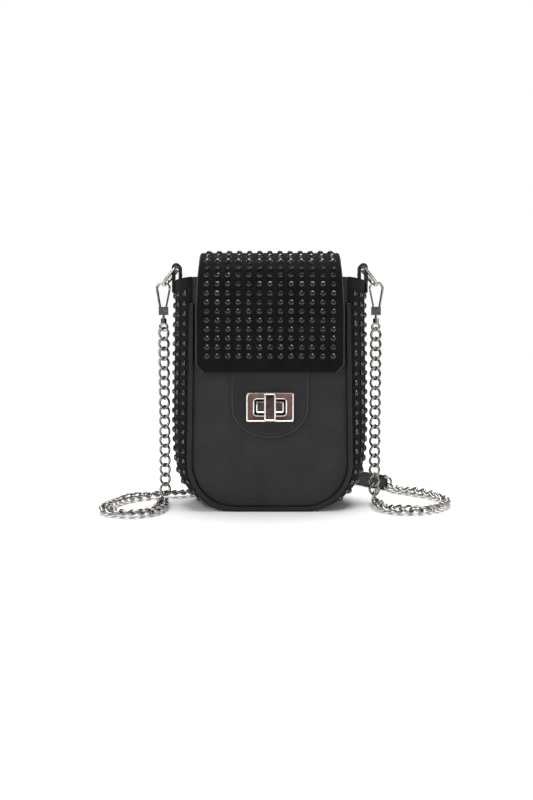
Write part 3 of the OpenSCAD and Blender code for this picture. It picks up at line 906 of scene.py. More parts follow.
@dataclass
class StitchPattern:
    """One stitch: a short fat bit of thread along X, half sunk in the leather."""

    length: float = 2.5
    thread: float = 0.55

    def tree(self) -> Repeat:
        """Builds the tree that copies it.

        Returns:
            The tree.
        """
        rep = Repeat("stitch", {"Length": self.length, "Thread": self.thread})
        ball = rep.node("GeometryNodeMeshUVSphere", None,
                        {"Segments": 8, "Rings": 6, "Radius": 0.5})
        shape = rep.node("ShaderNodeCombineXYZ", None, {
            0: rep.size("Length"), 1: rep.size("Thread"), 2: rep.size("Thread")})
        bead = rep.node("GeometryNodeTransform", None,
                        {"Geometry": ball.outputs[0], "Scale": shape.outputs[0]})
        rep.finish(bead.outputs[0], 0.06, True, Finish.THREAD)
        return rep


@dataclass
class LinkPattern:
    """A curb link: an oval of round wire along X, twisted a quarter turn from end to end."""

    half_length: float = 4.525
    half_width: float = 3.4
    wire: float = 0.95

    def tree(self) -> Repeat:
        """Builds the tree that copies it.

        Returns:
            The tree.
        """
        rep = Repeat("curb_link", {
            "Half Length": self.half_length, "Half Width": self.half_width, "Wire": self.wire})
        circle = rep.node("GeometryNodeCurvePrimitiveCircle", {"mode": "RADIUS"},
                          {"Resolution": 32, "Radius": 1.0})
        spot = rep.node("GeometryNodeInputPosition")
        parts = rep.node("ShaderNodeSeparateXYZ", None, {0: spot.outputs[0]})
        # a circle's X and Y become the oval's length and width, and Y turns about X with X
        wide = rep.times(parts.outputs[1], rep.size("Half Width"))
        long = rep.times(parts.outputs[0], rep.size("Half Length"))
        angle = rep.times(parts.outputs[0], math.radians(45))
        turned = [rep.times(rep.math(turn, angle), wide) for turn in ("COSINE", "SINE")]
        placed = rep.node("ShaderNodeCombineXYZ", None, {0: long, 1: turned[0], 2: turned[1]})
        bent = rep.node("GeometryNodeSetPosition", None,
                        {"Geometry": circle.outputs[0], "Position": placed.outputs[0]})
        profile = rep.node("GeometryNodeCurvePrimitiveCircle", {"mode": "RADIUS"},
                           {"Resolution": 9, "Radius": rep.size("Wire")})
        body = rep.node("GeometryNodeCurveToMesh", None,
                        {0: bent.outputs[0], 1: profile.outputs[0]})
        rep.finish(body.outputs[0], 0.0, True, Finish.CHAIN)
        return rep


# ---- Stage ----------------------------------------------------------------------------------


@dataclass
class Studio:
    """The camera, the floor and the soft lights."""

    eye: tuple[float, float, float] = (-2.4, -479.0, 105.0)
    pitch: float = 3.4
    lens: float = 29.35
    sky: float = 0.16
    overhead: float = 3.5
    overhead_from: tuple[float, float, float] = (0.06, 0.16, 1.0)

    def build(self) -> None:
        """Makes the whole stage."""
        self.camera()
        self.floor()
        self.lights()

    def camera(self) -> None:
        """Puts the camera in front of the bag, a little above its middle."""
        data = bpy.data.cameras.new("camera")
        data.lens, data.sensor_width = self.lens, 36.0
        data.clip_start, data.clip_end = 0.01, 30.0
        made = add_object("camera", data)
        made.location = Vector(self.eye) * MM
        made.rotation_euler = (math.radians(90 - self.pitch), 0, 0)
        bpy.context.scene.camera = made

    def floor(self) -> None:
        """Lays a wide pale floor."""
        wide = 9000.0
        points = [[Vector((x, y, 0)) for x in span(-wide, wide, 4)] for y in span(-wide, wide, 4)]
        made = Shape("studio_floor", Finish.FLOOR).rows(points, loop=False).build(80)

    def lights(self) -> None:
        """Hangs the soft lights: a broad one overhead and two large panels in front."""
        over = bpy.data.lights.new("overhead", "SUN")
        over.energy, over.angle = self.overhead, math.radians(50)
        made = add_object("overhead", over)
        made.rotation_euler = Vector(self.overhead_from).to_track_quat("Z", "Y").to_euler()
        for name, spot, aim, size, power in (
            ("key", (-650, -900, 900), (0, 0, 80), (700, 700), 8.0),
            ("fill", (900, -700, 420), (0, 0, 90), (500, 900), 2.5),
        ):
            data = bpy.data.lights.new(name, "AREA")
            data.shape, data.size, data.size_y = "RECTANGLE", size[0] * MM, size[1] * MM
            data.energy = power
            made = add_object(name, data)
            made.location = Vector(spot) * MM
            away = Vector(spot) - Vector(aim)
            made.rotation_euler = away.to_track_quat("Z", "Y").to_euler()
        self.surround()
        bpy.context.scene.view_settings.view_transform = "Standard"

    def surround(self) -> None:
        """Makes the surround: white where it is seen, and dim as a source of light."""
        world = bpy.data.worlds.new("surround")
        world.use_nodes = True
        tree = world.node_tree
        seen, dim = tree.nodes["Background"], tree.nodes.new("ShaderNodeBackground")
        seen.inputs[0].default_value = dim.inputs[0].default_value = (1, 1, 1, 1)
        seen.inputs[1].default_value, dim.inputs[1].default_value = 1.0, self.sky
        mix, path = tree.nodes.new("ShaderNodeMixShader"), tree.nodes.new("ShaderNodeLightPath")
        tree.links.new(path.outputs["Is Camera Ray"], mix.inputs[0])
        tree.links.new(dim.outputs[0], mix.inputs[1])
        tree.links.new(seen.outputs[0], mix.inputs[2])
        tree.links.new(mix.outputs[0], tree.nodes["World Output"].inputs[0])
        bpy.context.scene.world = world


# ---- The bag's form -------------------------------------------------------------------------


@dataclass
class Form:
    """The outline of the panels and the swelling of the gusset."""

    panel_w: float = 115.0
    mouth_w: float = 110.0
    height: float = 163.0
    depth: float = 54.0
    corner: float = 34.0
    bulge: float = 13.5
    fade: float = 70.0
    lean: float = 0.082

    def half_width(self, z: float, inset: float = 0.0) -> float:
        """Gives half the panel's width at a height, set in by a margin.

        Args:
            z: The height.
            inset: The margin.

        Returns:
            Half the width.
        """
        if z >= self.corner:
            rise = (self.height - z) / (self.height - self.corner)
            return self.mouth_w / 2 + (self.panel_w - self.mouth_w) / 2 * rise - inset
        reach = self.corner - inset
        drop = min(reach, self.corner - z)
        return self.panel_w / 2 - self.corner + math.sqrt(reach * reach - drop * drop)

    def swell(self, z: float, y: float) -> float:
        """Gives how far the gusset stands out of the outline."""
        low = 1.0 if z >= self.fade else math.sqrt(max(0.0, 1 - (1 - z / self.fade) ** 2))
        return self.bulge * (1 - (y / (self.depth / 2)) ** 2) * low

    def side(self, s: float) -> tuple[Vector, Vector, float]:
        """Follows the right side of the outline down from the mouth.

        Args:
            s: The length from the mouth, down the side, round the corner and along the base.

        Returns:
            The point, the direction away from the bag, and the height on the swelling's scale.
        """
        straight = self.height - self.corner
        turn = self.corner * math.pi / 2
        corner_x = self.panel_w / 2 - self.corner
        if s <= straight:
            z = self.height - s
            return Vector((self.half_width(z), 0, z)), Vector((1, 0, 0)), z
        if s < straight + turn:
            a = (s - straight) / self.corner
            away = Vector((math.cos(a), 0, -math.sin(a)))
            middle = Vector((corner_x, 0, self.corner))
            return middle + away * self.corner, away, self.corner * (1 - math.sin(a))
        return Vector((corner_x - (s - straight - turn), 0, 0)), Vector((0, 0, -1)), 0.0

    @property
    def length(self) -> float:
        """The length of the outline from one end of the mouth to the other."""
        return 2 * (self.height - self.corner + self.corner * math.pi / 2
                    + self.panel_w / 2 - self.corner)

    def place(self, s: float) -> tuple[Vector, Vector, float]:
        """Follows the whole outline, from the right end of the mouth to the left end.

        Args:
            s: The length along the outline.

        Returns:
            What side gives, for either side of the bag.
        """
        if s <= self.length / 2:
            return self.side(s)
        point, away, z = self.side(self.length - s)
        flip = Vector((-1, 1, 1))
        return point * flip, away * flip, z


FORM = Form()
FRONT = Vector((0, -1, 0))
UP = Vector((0, 0, 1))
RIGHT = Vector((1, 0, 0))
STONE_SINK = 0.25


def span(low: float, high: float, steps: int) -> list[float]:
    """Gives steps + 1 even values from low to high."""
    return [low + (high - low) * i / steps for i in range(steps + 1)]


def runs(points: Sequence[Vector]) -> list[float]:
    """Gives the length along a line of points up to each of them.

    Args:
        points: The points in order.

    Returns:
        The lengths, from 0.
    """
    found = [0.0]
    for p, q in zip(points, points[1:]):
        found.append(found[-1] + (q - p).length)
    return found


def polar(degrees: float) -> Plan:
    """Gives the cosine and the sine of an angle."""
    return math.cos(math.radians(degrees)), math.sin(math.radians(degrees))


# ---- Chains and strap -----------------------------------------------------------------------


class Route:
    """A smooth plan curve through given points, measured along its length."""

    def __init__(self, points: Sequence[Plan]) -> None:
        """Passes a curve through points on the ground, in millimetres.

        Args:
            points: The given points.
        """
        knots = [Vector((*p, 0)) for p in points]
        self.points: list[Vector] = []
        for i in range(len(knots) - 1):
            a, b, c = knots[max(0, i - 1)], knots[i], knots[i + 1]
            d = knots[min(len(knots) - 1, i + 2)]
            for f in (k / 8 for k in range(8)):
                self.points.append(
                    b + (c - a) * (f / 2) + (a - 2.5 * b + 2 * c - d / 2) * f ** 2
                    + (1.5 * b - 1.5 * c + (d - a) / 2) * f ** 3)
        self.points.append(knots[-1])
        self.at = runs(self.points)

    @property
    def length(self) -> float:
        """The curve's length."""
        return self.at[-1]

    def point(self, s: float) -> Vector:
        """Gives the point at a length from the start.

        Args:
            s: The length.

        Returns:
            The point.
        """
        s = max(0.0, min(self.length, s))
        i = next((k for k in range(1, len(self.at)) if self.at[k] >= s), len(self.at) - 1)
        f = (s - self.at[i - 1]) / max(1e-9, self.at[i] - self.at[i - 1])
        return self.points[i - 1].lerp(self.points[i], f)

    def heading(self, s: float) -> Vector:
        """Gives the direction at a length from the start."""
        return (self.point(s + 3) - self.point(s - 3)).normalized()


@dataclass
class Chain:
    """The curb chains: one hangs from each hook, and one lies on the ground at each side."""

    hang: tuple[float, float] = (77.519, 160.066)
    first: float = 35.275
    pitch: float = 7.15
    slack: float = 6.7
    links: int = 17
    pattern: LinkPattern = field(default_factory=LinkPattern)
    left: tuple[Plan, ...] = (
        (-78, -8), (-76, -26), (-81, -41), (-94, -47), (-108, -42), (-115, -29), (-113, -13),
        (-105, 2), (-92, 12), (-78, 18), (-66, 21.5), (-55, 29), (-50, 35), (-47.5, 40))
    right: tuple[Plan, ...] = (
        (78, -8), (78, -24), (85, -35), (98, -38), (112, -32), (123, -20), (128.5, -4),
        (124.5, 12), (115.5, 23), (107.5, 30.5), (101.5, 38), (98.5, 47))

    def build(self) -> None:
        links = self.pattern.tree()
        width = 2 * (self.pattern.half_width + self.pattern.wire) * MM
        for side, k in (("left", -1), ("right", 1)):
            x, top = k * self.hang[0], self.hang[1] - self.first
            spots = [Spot(Vector((x, 0, top - i * self.pitch)), -UP,
                          Vector((0.16 * math.sin(2.1 * i + k), -1, 0)))
                     for i in range(self.links)]
            piece = links.place(f"{side}_hanging_chain_links", spots)
            wire = self.pattern.wire
            high, low = top + self.pitch / 2 + wire, top - (self.links - 0.5) * self.pitch - wire
            line = [(x * MM, 0, z * MM) for z in span(high, low, 24)]
            finished(piece, f"{side}_swivel", "chain", f"{side}_hanging_chain")
            (high - low) * MM
            self.ground(links, side, k, Route(self.left if k < 0 else self.right), low)

    def ground(self, links: Repeat, side: str, k: int, route: Route, low: float) -> None:
        """Lays one side's chain along its route on the ground.

        Args:
            links: The tree that copies the link.
            side: The side's name.
            k: -1 on the left and 1 on the right.
            route: The plan curve.
            low: The height of the hanging chain's lower end.
        """
        count = int(route.length / self.slack)
        sway, wave = math.radians(17), 9.5
        middle_z, overlap = 3.5, 0.75
        start = Vector((k * self.hang[0], 0.4, low + 2.9))
        first = route.point(0.0)
        tip = Vector((first.x, first.y - overlap, middle_z))
        spots = [Spot((start + tip) / 2, tip - start, Vector((k, 0, 0.35)))]
        for i in range(count):
            s = (i + 0.5) * route.length / count
            ahead = route.heading(s)
            roll = sway * math.sin(s / wave + k)
            across = UP.cross(ahead)
            up = UP * math.cos(roll) + across * math.sin(roll)
            lift = self.pattern.half_width * math.sin(math.radians(45) + abs(roll) * 0.8)
            spots.append(Spot(route.point(s) + UP * (lift + self.pattern.wire + 0.05), ahead, up))
        piece = links.place(f"{side}_ground_chain_links", spots)
        line = [start * MM] + [(route.point(s) + UP * middle_z) * MM
                               for s in span(0, route.length, 60)]
        finished(piece, "bag", "chain", f"{side}_ground_chain")
        length = runs(line)[-1]


@dataclass
class Strap:
    """The leather shoulder piece, which lies folded on its edge behind the bag."""

    start: Plan = (93.4, 51.1)
    heading: float = 130.0
    runs: tuple[tuple[float, float], ...] = (
        (42, 0), (20, 50), (78, 0), (14, 180), (58, 0), (12, -180), (71, 0))
    width: float = 12.0
    thick: float = 2.4
    fold: float = 22.0
    stitch: float = 3.5

    def places(self) -> list[tuple[Vector, float]]:
        """Follows the strap as points 3 mm apart with their headings in radians.

        Returns:
            Each point and its heading.
        """
        point, angle = Vector((*self.start, 0)), math.radians(self.heading)
        found = [(point.copy(), angle)]
        for size, bend in self.runs:
            turn = math.radians(bend)
            length = size if bend == 0 else size * abs(turn)
            steps = max(2, round(length / 3))
            for _ in range(steps):
                middle = angle + turn / steps / 2
                chord = length / steps if bend == 0 else 2 * size * math.sin(abs(turn) / steps / 2)
                point = point + Vector((math.cos(middle), math.sin(middle), 0)) * chord
                angle += turn / steps
                found.append((point.copy(), angle))
        return found

    def build(self) -> None:
        places = self.places()
        middle = self.width / 2
        face = [Vector((-math.sin(a), math.cos(a), 0)) for _, a in places]
        stations = [Station(p + UP * middle, n, middle, UP) for (p, _), n in zip(places, face)]
        main = Strip("shoulder_strap_leather", self.thick, 6, Finish.STRAP,
                     Finish.PAINTED_EDGE).build(stations)
        finished(main, "bag", "strap_leather", "shoulder_strap")
        line = [(p + UP * middle) * MM for p, _ in places]
        length = runs(line)[-1]
        extra = [self.end(places[0], math.pi, "right"), self.end(places[-1], 0.0, "left")]
        extra.append(self.stitches(places, face))

    def end(self, place: tuple[Vector, float], turn: float, side: str) -> bpy.types.Object:
        """Makes the thinned end that is folded round a ring's bar and lies on the strap.

        Args:
            place: The strap's end and its heading.
            turn: What turns the heading so that it points off the strap.
            side: The side's name.

        Returns:
            The piece.
        """
        point, angle = place
        out = Vector((math.cos(angle + turn), math.sin(angle + turn), 0))
        side_on = Vector((-out.y, out.x, 0))
        skin, wire_r, loop_half, loop_out = 0.9, 1.15, 3.5, 1.95
        off = self.thick / 2 + skin / 2 + 0.02
        leg = ((-self.fold, 5.4), (-self.fold * 0.6, 5.5), (-6, 5.5), (-2.5, 5.0))
        stations = [(out * s + side_on * off, side_on, half) for s, half in leg]
        for a in span(110, -110, 14):
            ray = out * polar(a)[0] + side_on * polar(a)[1]
            stations.append((out * loop_out + ray * (wire_r + skin / 2), ray, loop_half))
        stations += [(out * s - side_on * off, -side_on, half) for s, half in reversed(leg)]
        base = point + UP * self.width / 2
        made = Strip(f"{side}_strap_fold", skin, 4, Finish.STRAP, Finish.PAINTED_EDGE).build(
            [Station(base + m, n, h, UP) for m, n, h in stations])
        return finished(made, "bag", "strap_leather")

    def stitches(self, places: list[tuple[Vector, float]], face: list[Vector]) -> bpy.types.Object:
        """Runs two rows of stitches along each side of the strap.

        Args:
            places: The strap's points and headings.
            face: The direction across the strap at each of them.

        Returns:
            The piece.
        """
        spots = []
        clear, margin = self.fold + 6, 1.7
        due = clear
        at = runs([p for p, _ in places])
        for (p, _), (q, _), n, start, end in zip(places, places[1:], face, at, at[1:]):
            while due < end and due < at[-1] - clear:
                here = p.lerp(q, (due - start) / (end - start))
                for s in (-1, 1):
                    for z in (margin, self.width - margin):
                        spots.append(Spot(here + UP * z + n * (s * self.thick / 2), q - p, n * s))
                due += self.stitch
        made = StitchPattern(length=2.6, thread=0.5).tree().place("strap_stitches", spots, 5)
        return finished(made, "bag", "strap_leather")


# ---- The body of the bag --------------------------------------------------------------------


@dataclass
class Shell:
    """The panels, the gusset, the binding, the lining and the stones on the gusset."""

    leather: float = 1.6
    binding_w: float = 3.4
    binding_top: float = 144.0
    stud_first: float = 11.0
    stud_rows: float = 6.9
    stud_columns: float = 8.5
    wall: float = 2.9

    def build(self) -> None:
        """Makes every piece of the body."""
        for side, k in (("front", -1), ("back", 1)):
            self.panel(side, k)
            self.binding(side, k)
        self.gusset()
        self.studs()
        self.lining()
        self.pocket()

    def panel(self, side: str, k: int) -> None:
        """Makes one leather panel, which is a little crowned and softly uneven.

        Args:
            side: front or back.
            k: -1 at the front and 1 at the back.
        """
        heights = [*span(self.leather, 12, 8), *span(15, FORM.height, 62)]
        across = 56
        crown_high, rim_wide, wave_high, wave_long = 0.75, 2.2, 0.28, 30
        dent_deep, dent_x, dent_z, dent_wide, dent_tall = 0.9, 47, 118, 4.5, 26
        rows = []
        for z in heights:
            half = FORM.half_width(z, self.leather)
            row = []
            for u in span(-1, 1, across):
                x = u * half
                edge = min(half - abs(x) if z > FORM.corner else half * (1 - abs(u)), 60.0)
                low = z - self.leather
                rim = 1 - math.exp(-min(edge, low) / rim_wide)
                crown = crown_high * rim * (1 - 0.5 * u * u)
                soft = wave_high * ripple(Vector((x, 0, z)), wave_long, k) * rim
                dent = -dent_deep * math.exp(-((abs(x) - dent_x) / dent_wide) ** 2) * math.exp(
                    -((z - dent_z) / dent_tall) ** 2) * (0.4 if x < 0 else 1.0)
                y = FORM.depth / 2 - crown_high + crown + soft + dent
                row.append(Vector((x, k * y, z)))
            rows.append(row)
        back = [[Vector((p.x, k * (FORM.depth / 2 - self.leather), p.z)) for p in row]
                for row in rows]
        rings = [f + list(reversed(b)) for f, b in zip(rows, back)]
        made = Shape(f"{side}_leather", Finish.PANEL).rows(rings, caps=True).build(60)
        finished(made, "bag", "leather", f"{side}_panel")

    def binding(self, side: str, k: int) -> None:
        """Makes the folded strip that binds one panel to the gusset.

        Args:
            side: front or back.
            k: -1 at the front and 1 at the back.
        """
        top = FORM.height - self.binding_top
        half, tall_half, groove_deep, groove_wide = self.binding_w / 2, 1.9, 0.3, 0.45
        rows = []
        stops = [top - 0.9, top - 0.6, *span(top, FORM.length - top, 150)]
        stops += [FORM.length - top + 0.6, FORM.length - top + 0.9]
        for i, s in enumerate(stops):
            point, away, _ = FORM.place(s)
            small = {0: 0.55, 1: 0.85, len(stops) - 2: 0.85, len(stops) - 1: 0.55}.get(i, 1.0)
            wave = 0.1 * ripple(point, 14, 3 + k)
            centre = point - away * (half - 0.1 + wave)
            row = []
            for a in span(0, 345, 23):
                c, d = polar(a)
                wide = half * abs(c) ** 0.6 * (1 if c > 0 else -1) * small
                tall = tall_half * abs(d) ** 0.55 * (1 if d > 0 else -1) * small
                groove = groove_deep * math.exp(-(wide / groove_wide) ** 2) if d > 0.5 else 0.0
                deep = k * (FORM.depth / 2 + 0.35 + tall - groove + wave)
                row.append(centre + away * wide + Vector((0, deep, 0)))
            rows.append(row)
        made = Shape(f"{side}_binding_strip", Finish.BINDING).rows(rows, caps=True).build(60)
        finished(made, "bag", "leather", f"{side}_binding")

    def stud_places(self) -> list[tuple[float, float]]:
        """Lists the right side's stones as lengths from the mouth and places across the depth.

        Returns:
            The length and the place of each stone.
        """
        straight = FORM.height - FORM.corner
        lowest = 9.0
        end = straight + FORM.corner * math.asin((FORM.corner - lowest) / FORM.corner)
        rows = [self.stud_first + self.stud_rows * i for i in range(60)]
        places = []
        for s in (r for r in rows if r <= end):
            for i in range(-3, 4):
                v = i * self.stud_columns
                places.append((s, v * (1 - FORM.lean * (v / (FORM.depth / 2)) ** 2)))
        return places

    def skin(self, s: float, y: float, depth: float = 0.0) -> tuple[Vector, Vector]:
        """Gives a point on the gusset's outer face and the direction out of it.

        Args:
            s: The length along the outline.
            y: The place across the depth.
            depth: How far under the face.

        Returns:
            The point and the direction.
        """
        point, away, z = FORM.place(s)
        out = FORM.swell(z, y) - depth
        slope = 2 * y / (FORM.depth / 2) ** 2 * FORM.swell(z, 0)
        where = point + away * out
        normal = (away + Vector((0, slope, 0))).normalized()
        return Vector((where.x, y, max(where.z, depth))), normal

    def gusset(self) -> None:
        """Makes the suede gusset, which puffs up a little between its stones."""
        half = FORM.depth / 2
        ys = span(-half, half, 34)
        puff_high, wave_high, wave_long = 0.28, 0.45, 17
        rows = []
        last = max(s for s, _ in self.stud_places())
        for s in span(0, FORM.length, 250):
            run = min(s, FORM.length - s)
            ring = []
            for y in ys:
                where, normal = self.skin(s, y)
                rim = min(1.0, (half - abs(y)) / 4)
                puff = 0.0
                if self.stud_first - 4 < run < last + 4:
                    v = y * (1 + FORM.lean * (y / half) ** 2)
                    row = math.cos(2 * math.pi * (run - self.stud_first) / self.stud_rows)
                    puff = -puff_high * row * math.cos(2 * math.pi * v / self.stud_columns)
                soft = wave_high * ripple(where, wave_long, 2) * min(1.0, run / 12)
                moved = where + normal * ((puff + soft) * rim)
                ring.append(Vector((moved.x, y, max(moved.z, 0.02))))
            inner = [self.skin(s, y, self.leather)[0] for y in reversed(ys)]
            rows.append(ring + inner)
        made = Shape("gusset_suede", Finish.SUEDE).rows(rows, caps=True).build(60)
        finished(made, "bag", "suede", "gusset")

    def studs(self) -> None:
        """Sets the stones on both sides of the gusset."""
        stones = StonePattern().tree()
        for side, k in (("right", 1), ("left", -1)):
            spots = []
            for s, y in self.stud_places():
                where, normal = self.skin(s, y)
                flip = Vector((k, 1, 1))
                at = (where - normal * STONE_SINK) * flip
                spots.append(Spot(at, Vector((0, 1, 0.01)), normal * flip))
            made = stones.place(f"gusset_stones_{side}", spots, 11 + k)
            finished(made, "bag", "studs", f"gusset_studs_{side}")

    def lining(self) -> None:
        """Makes the cloth lining as one soft bag inside the shell."""
        deep = FORM.depth / 2 - self.wall
        inset, gap, fill, sag_most = 2.6, 0.3, 0.97, 0.5
        rows = []
        for z in [4.4, 4.6, 5.4, 7, 10, *span(14, FORM.height - 0.2, 34)]:
            half = FORM.half_width(z, inset)
            ring: list[Vector] = []
            for k in (1, -1):
                for y in span(-deep * k, deep * k, 12)[:-1]:
                    out = max(0.0, FORM.swell(z, y) - FORM.swell(z, deep)) * fill
                    ring.append(Vector((k * (half + out - gap), y, z)))
                for x in span(half * k, -half * k, 20)[:-1]:
                    sag = sag_most * ripple(Vector((x, k * 40, z)), 20, 7)
                    ring.append(Vector((x, k * (deep + 0.25 - abs(sag)), z)))
            rows.append(ring)
        floor_z = 4.3
        floor = [[Vector((p.x * f, p.y * f, floor_z)) for p in rows[0]] for f in (0.02, 0.4, 0.8)]
        made = Shape("lining_bag", Finish.TWILL).rows(floor + rows).build(60)
        wall = made.modifiers.new("cloth", "SOLIDIFY")
        wall.thickness, wall.offset = 0.35 * MM, 0.0
        finished(made, "bag", "lining", "front_lining", "back_lining", "gusset_lining")

    def pocket(self) -> None:
        """Makes the slip pocket with its turned hem and its row of stitches."""
        half, low, high = 43.0, FORM.corner, 121.0
        gape_most, hem_thick, hem_high, seam_drop = 0.9, 0.35, 6, 5
        deep = FORM.depth / 2 - self.wall
        stations = []
        for z in span(low, high, 26):
            gape = gape_most * ((z - low) / (high - low)) ** 3
            hem = hem_thick if z > high - hem_high else 0.0
            stations.append(Station(Vector((0, deep - 0.75 - gape - hem, z)), FRONT, half, RIGHT))
        made = Strip("card_pocket_cloth", 0.5, 24, Finish.TWILL).build(
            stations, lambda p: 0.2 * ripple(p, 12, 9))
        finished(made, "bag", "lining", "card_pocket")
        spots = [Spot(Vector((x, deep - 2.35, high - seam_drop)), RIGHT, FRONT)
                 for x in span(-half + 2, half - 2, 24)]
        row = StitchPattern(length=2.4, thread=0.35).tree().place("pocket_stitches", spots, 3)
        finished(row, "bag", "lining")


# ---- Flap -----------------------------------------------------------------------------------


@dataclass
class Flap:
    """The suede flap that is sewn to the back, folds over the top and closes at the front."""

    half_w: float = 51.0
    top_half: float = 49.0
    edge_z: float = 98.0
    arch_z: float = 154.0
    rise: float = 28.0
    reach: float = 30.8
    power: float = 2.25
    suede: float = 1.4
    first_row: float = 10.5
    row_pitch: float = 6.1
    column_pitch: float = 7.2
    columns: int = 13

    def arch(self, degrees: float, out: float = 0.0) -> Vector:
        """Gives a point of the arch over the top, from its front foot at 0 to its back at 180.

        Args:
            degrees: The angle.
            out: How far outside the middle surface.

        Returns:
            The point.
        """
        a = math.radians(degrees)
        c, s = math.cos(a), max(0.0, math.sin(a))
        y = -(self.reach + out) * math.copysign(abs(c) ** (2 / self.power), c)
        return Vector((0, y, self.arch_z + (self.rise + out) * s ** (2 / self.power)))

    def line(self) -> list[Vector]:
        """Follows the flap's middle from its free edge to the hinge, about 1.6 mm apart.

        Returns:
            The points in order.
        """
        fine = [self.arch(t / 4) for t in range(721)]
        found = [Vector((0, -self.reach, z)) for z in span(self.edge_z, self.arch_z, 36)[:-1]]
        last = fine[0]
        found.append(last)
        for p in fine[1:-1]:
            if (p - last).length > 1.6:
                found.append(p)
                last = p
        if (fine[-1] - found[-1]).length < 0.8:
            found.pop()
        found.append(fine[-1])
        return found

    def half(self, point: Vector, run: float) -> float:
        """Gives half the flap's width at a point and a length from the free edge.

        Args:
            point: A point on the flap's middle line.
            run: The length from the free edge.

        Returns:
            Half the width.
        """
        low, rise, past_top = self.arch_z - 14, 31, 90
        taper = min(1.0, max(0.0, (point.z - low) / rise)) if run < past_top else 1.0
        wide = self.half_w + (self.top_half - self.half_w) * taper
        cut = 4.6
        return wide - (cut * (1 - run / cut) ** 1.25 if run < cut else 0.0)

    def stations(self, off: float, inset: float) -> list[Station]:
        """Makes the flap's stations at an offset from its middle surface.

        Args:
            off: The offset outwards.
            inset: How far the edges are set in.

        Returns:
            The stations from the free edge to the hinge.
        """
        line = self.line()
        inside = Vector((0, 0, 140))
        made = []
        for i, (p, run) in enumerate(zip(line, runs(line))):
            ahead = line[min(i + 1, len(line) - 1)] - line[max(i - 1, 0)]
            if i in (0, len(line) - 1):
                ahead = UP if i == 0 else -UP
            face = RIGHT.cross(ahead).normalized() * -1
            face = face if face.dot(p - inside) > 0 else -face
            if run >= inset:
                made.append(Station(p + face * off, face, self.half(p, run) - inset, RIGHT))
        return made

    def build(self) -> None:
        """Makes the flap, its hinge strip, its sewn foot, its lining and its stones."""
        cloth = Strip("flap_suede", self.suede, 62, Finish.SUEDE, Finish.RAW_EDGE)
        over = cloth.build(self.stations(0.0, 0.0), self.puff, blunt=(True, False))
        finished(over, "flap", "suede", "flap")
        under = Strip("flap_under_lining", 0.5, 24, Finish.TWILL).build(
            self.stations(-self.suede / 2 - 0.25, 1.5), blunt=(True, False))
        finished(under, "flap", "lining", "flap_lining")
        self.stones()
        self.foot()

    def puff(self, p: Vector) -> float:
        """Gives the suede's unevenness: low at the stones and puffed up between them.

        Args:
            p: A point on the flap.

        Returns:
            How far its face stands out.
        """
        soft = 0.22 * ripple(p, 15, 5)
        column = math.cos(2 * math.pi * p.x / self.column_pitch)
        rim = min(1.0, max(0.0, (self.half_w - 4 - abs(p.x)) / 4))
        row = 1.0
        if p.y < 0 and p.z < self.arch_z:
            row = math.cos(2 * math.pi * (p.z - self.edge_z - self.first_row) / self.row_pitch)
            rim *= min(1.0, max(0.0, (p.z - self.edge_z - 5) / 4))
        return soft - 0.16 * column * row * rim

    def stones(self) -> None:
        """Sets the stones in rows from the free edge over the top to the hinge."""
        out = self.suede / 2
        fine = [self.arch(t / 4, out) for t in range(721)]
        straight = self.arch_z - self.edge_z
        at = [straight + run for run in runs(fine)]
        spots = []
        row = self.first_row
        while row < at[-1] - self.row_pitch:
            if row <= straight:
                point, face = Vector((0, -self.reach - out, self.edge_z + row)), FRONT
            else:
                i = next(k for k, s in enumerate(at) if s >= row)
                ahead = fine[min(i + 2, 720)] - fine[max(i - 2, 0)]
                point, face = fine[i], Vector((0, -ahead.z, ahead.y)).normalized()
            for c in range(self.columns):
                x = (c - (self.columns - 1) / 2) * self.column_pitch
                spots.append(Spot(point + RIGHT * x - face * STONE_SINK, RIGHT, face))
            row += self.row_pitch
        made = StonePattern().tree().place("flap_stones", spots, 21)
        finished(made, "flap", "studs", "flap_studs")

    def foot(self) -> None:
        """Makes the part sewn to the back panel, with the strip that bends at the hinge."""
        foot_low, turn_low, turn_high = 119.0, 147.0, self.arch_z
        y = self.reach
        lower = [Station(Vector((0, y - 0.4, z)), -FRONT, self.top_half, RIGHT)
                 for z in span(foot_low, turn_low, 18)]
        body = Strip("flap_foot_suede", 2.2, 50, Finish.SUEDE, Finish.RAW_EDGE).build(
            lower, lambda p: 0.18 * ripple(p, 15, 6), blunt=(True, False))
        finished(body, "bag", "suede", "flap_anchor")
        bend = [Station(Vector((0, y, z)), -FRONT, self.top_half, RIGHT)
                for z in span(turn_low - 0.4, turn_high, 10)]
        hinge = Strip("flap_hinge_suede", self.suede, 50, Finish.SUEDE, Finish.RAW_EDGE).build(
            bend, blunt=(False, False))
        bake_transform(hinge)
        spots = []
        seam_x, seam_y = self.top_half - 3.4, y + 0.85
        for z in (122.0, 144.5):
            for x in span(-seam_x, seam_x, 26):
                spots.append(Spot(Vector((x, seam_y, z)), RIGHT, -FRONT))
        for z in span(125.2, 141.4, 4):
            for x in (-seam_x, seam_x):
                spots.append(Spot(Vector((x, seam_y, z)), UP, -FRONT))
        made = StitchPattern(length=2.7, thread=0.6).tree().place("flap_stitches", spots, 8)
        finished(made, "bag", "suede")


# ---- Tongue and turn-lock -------------------------------------------------------------------


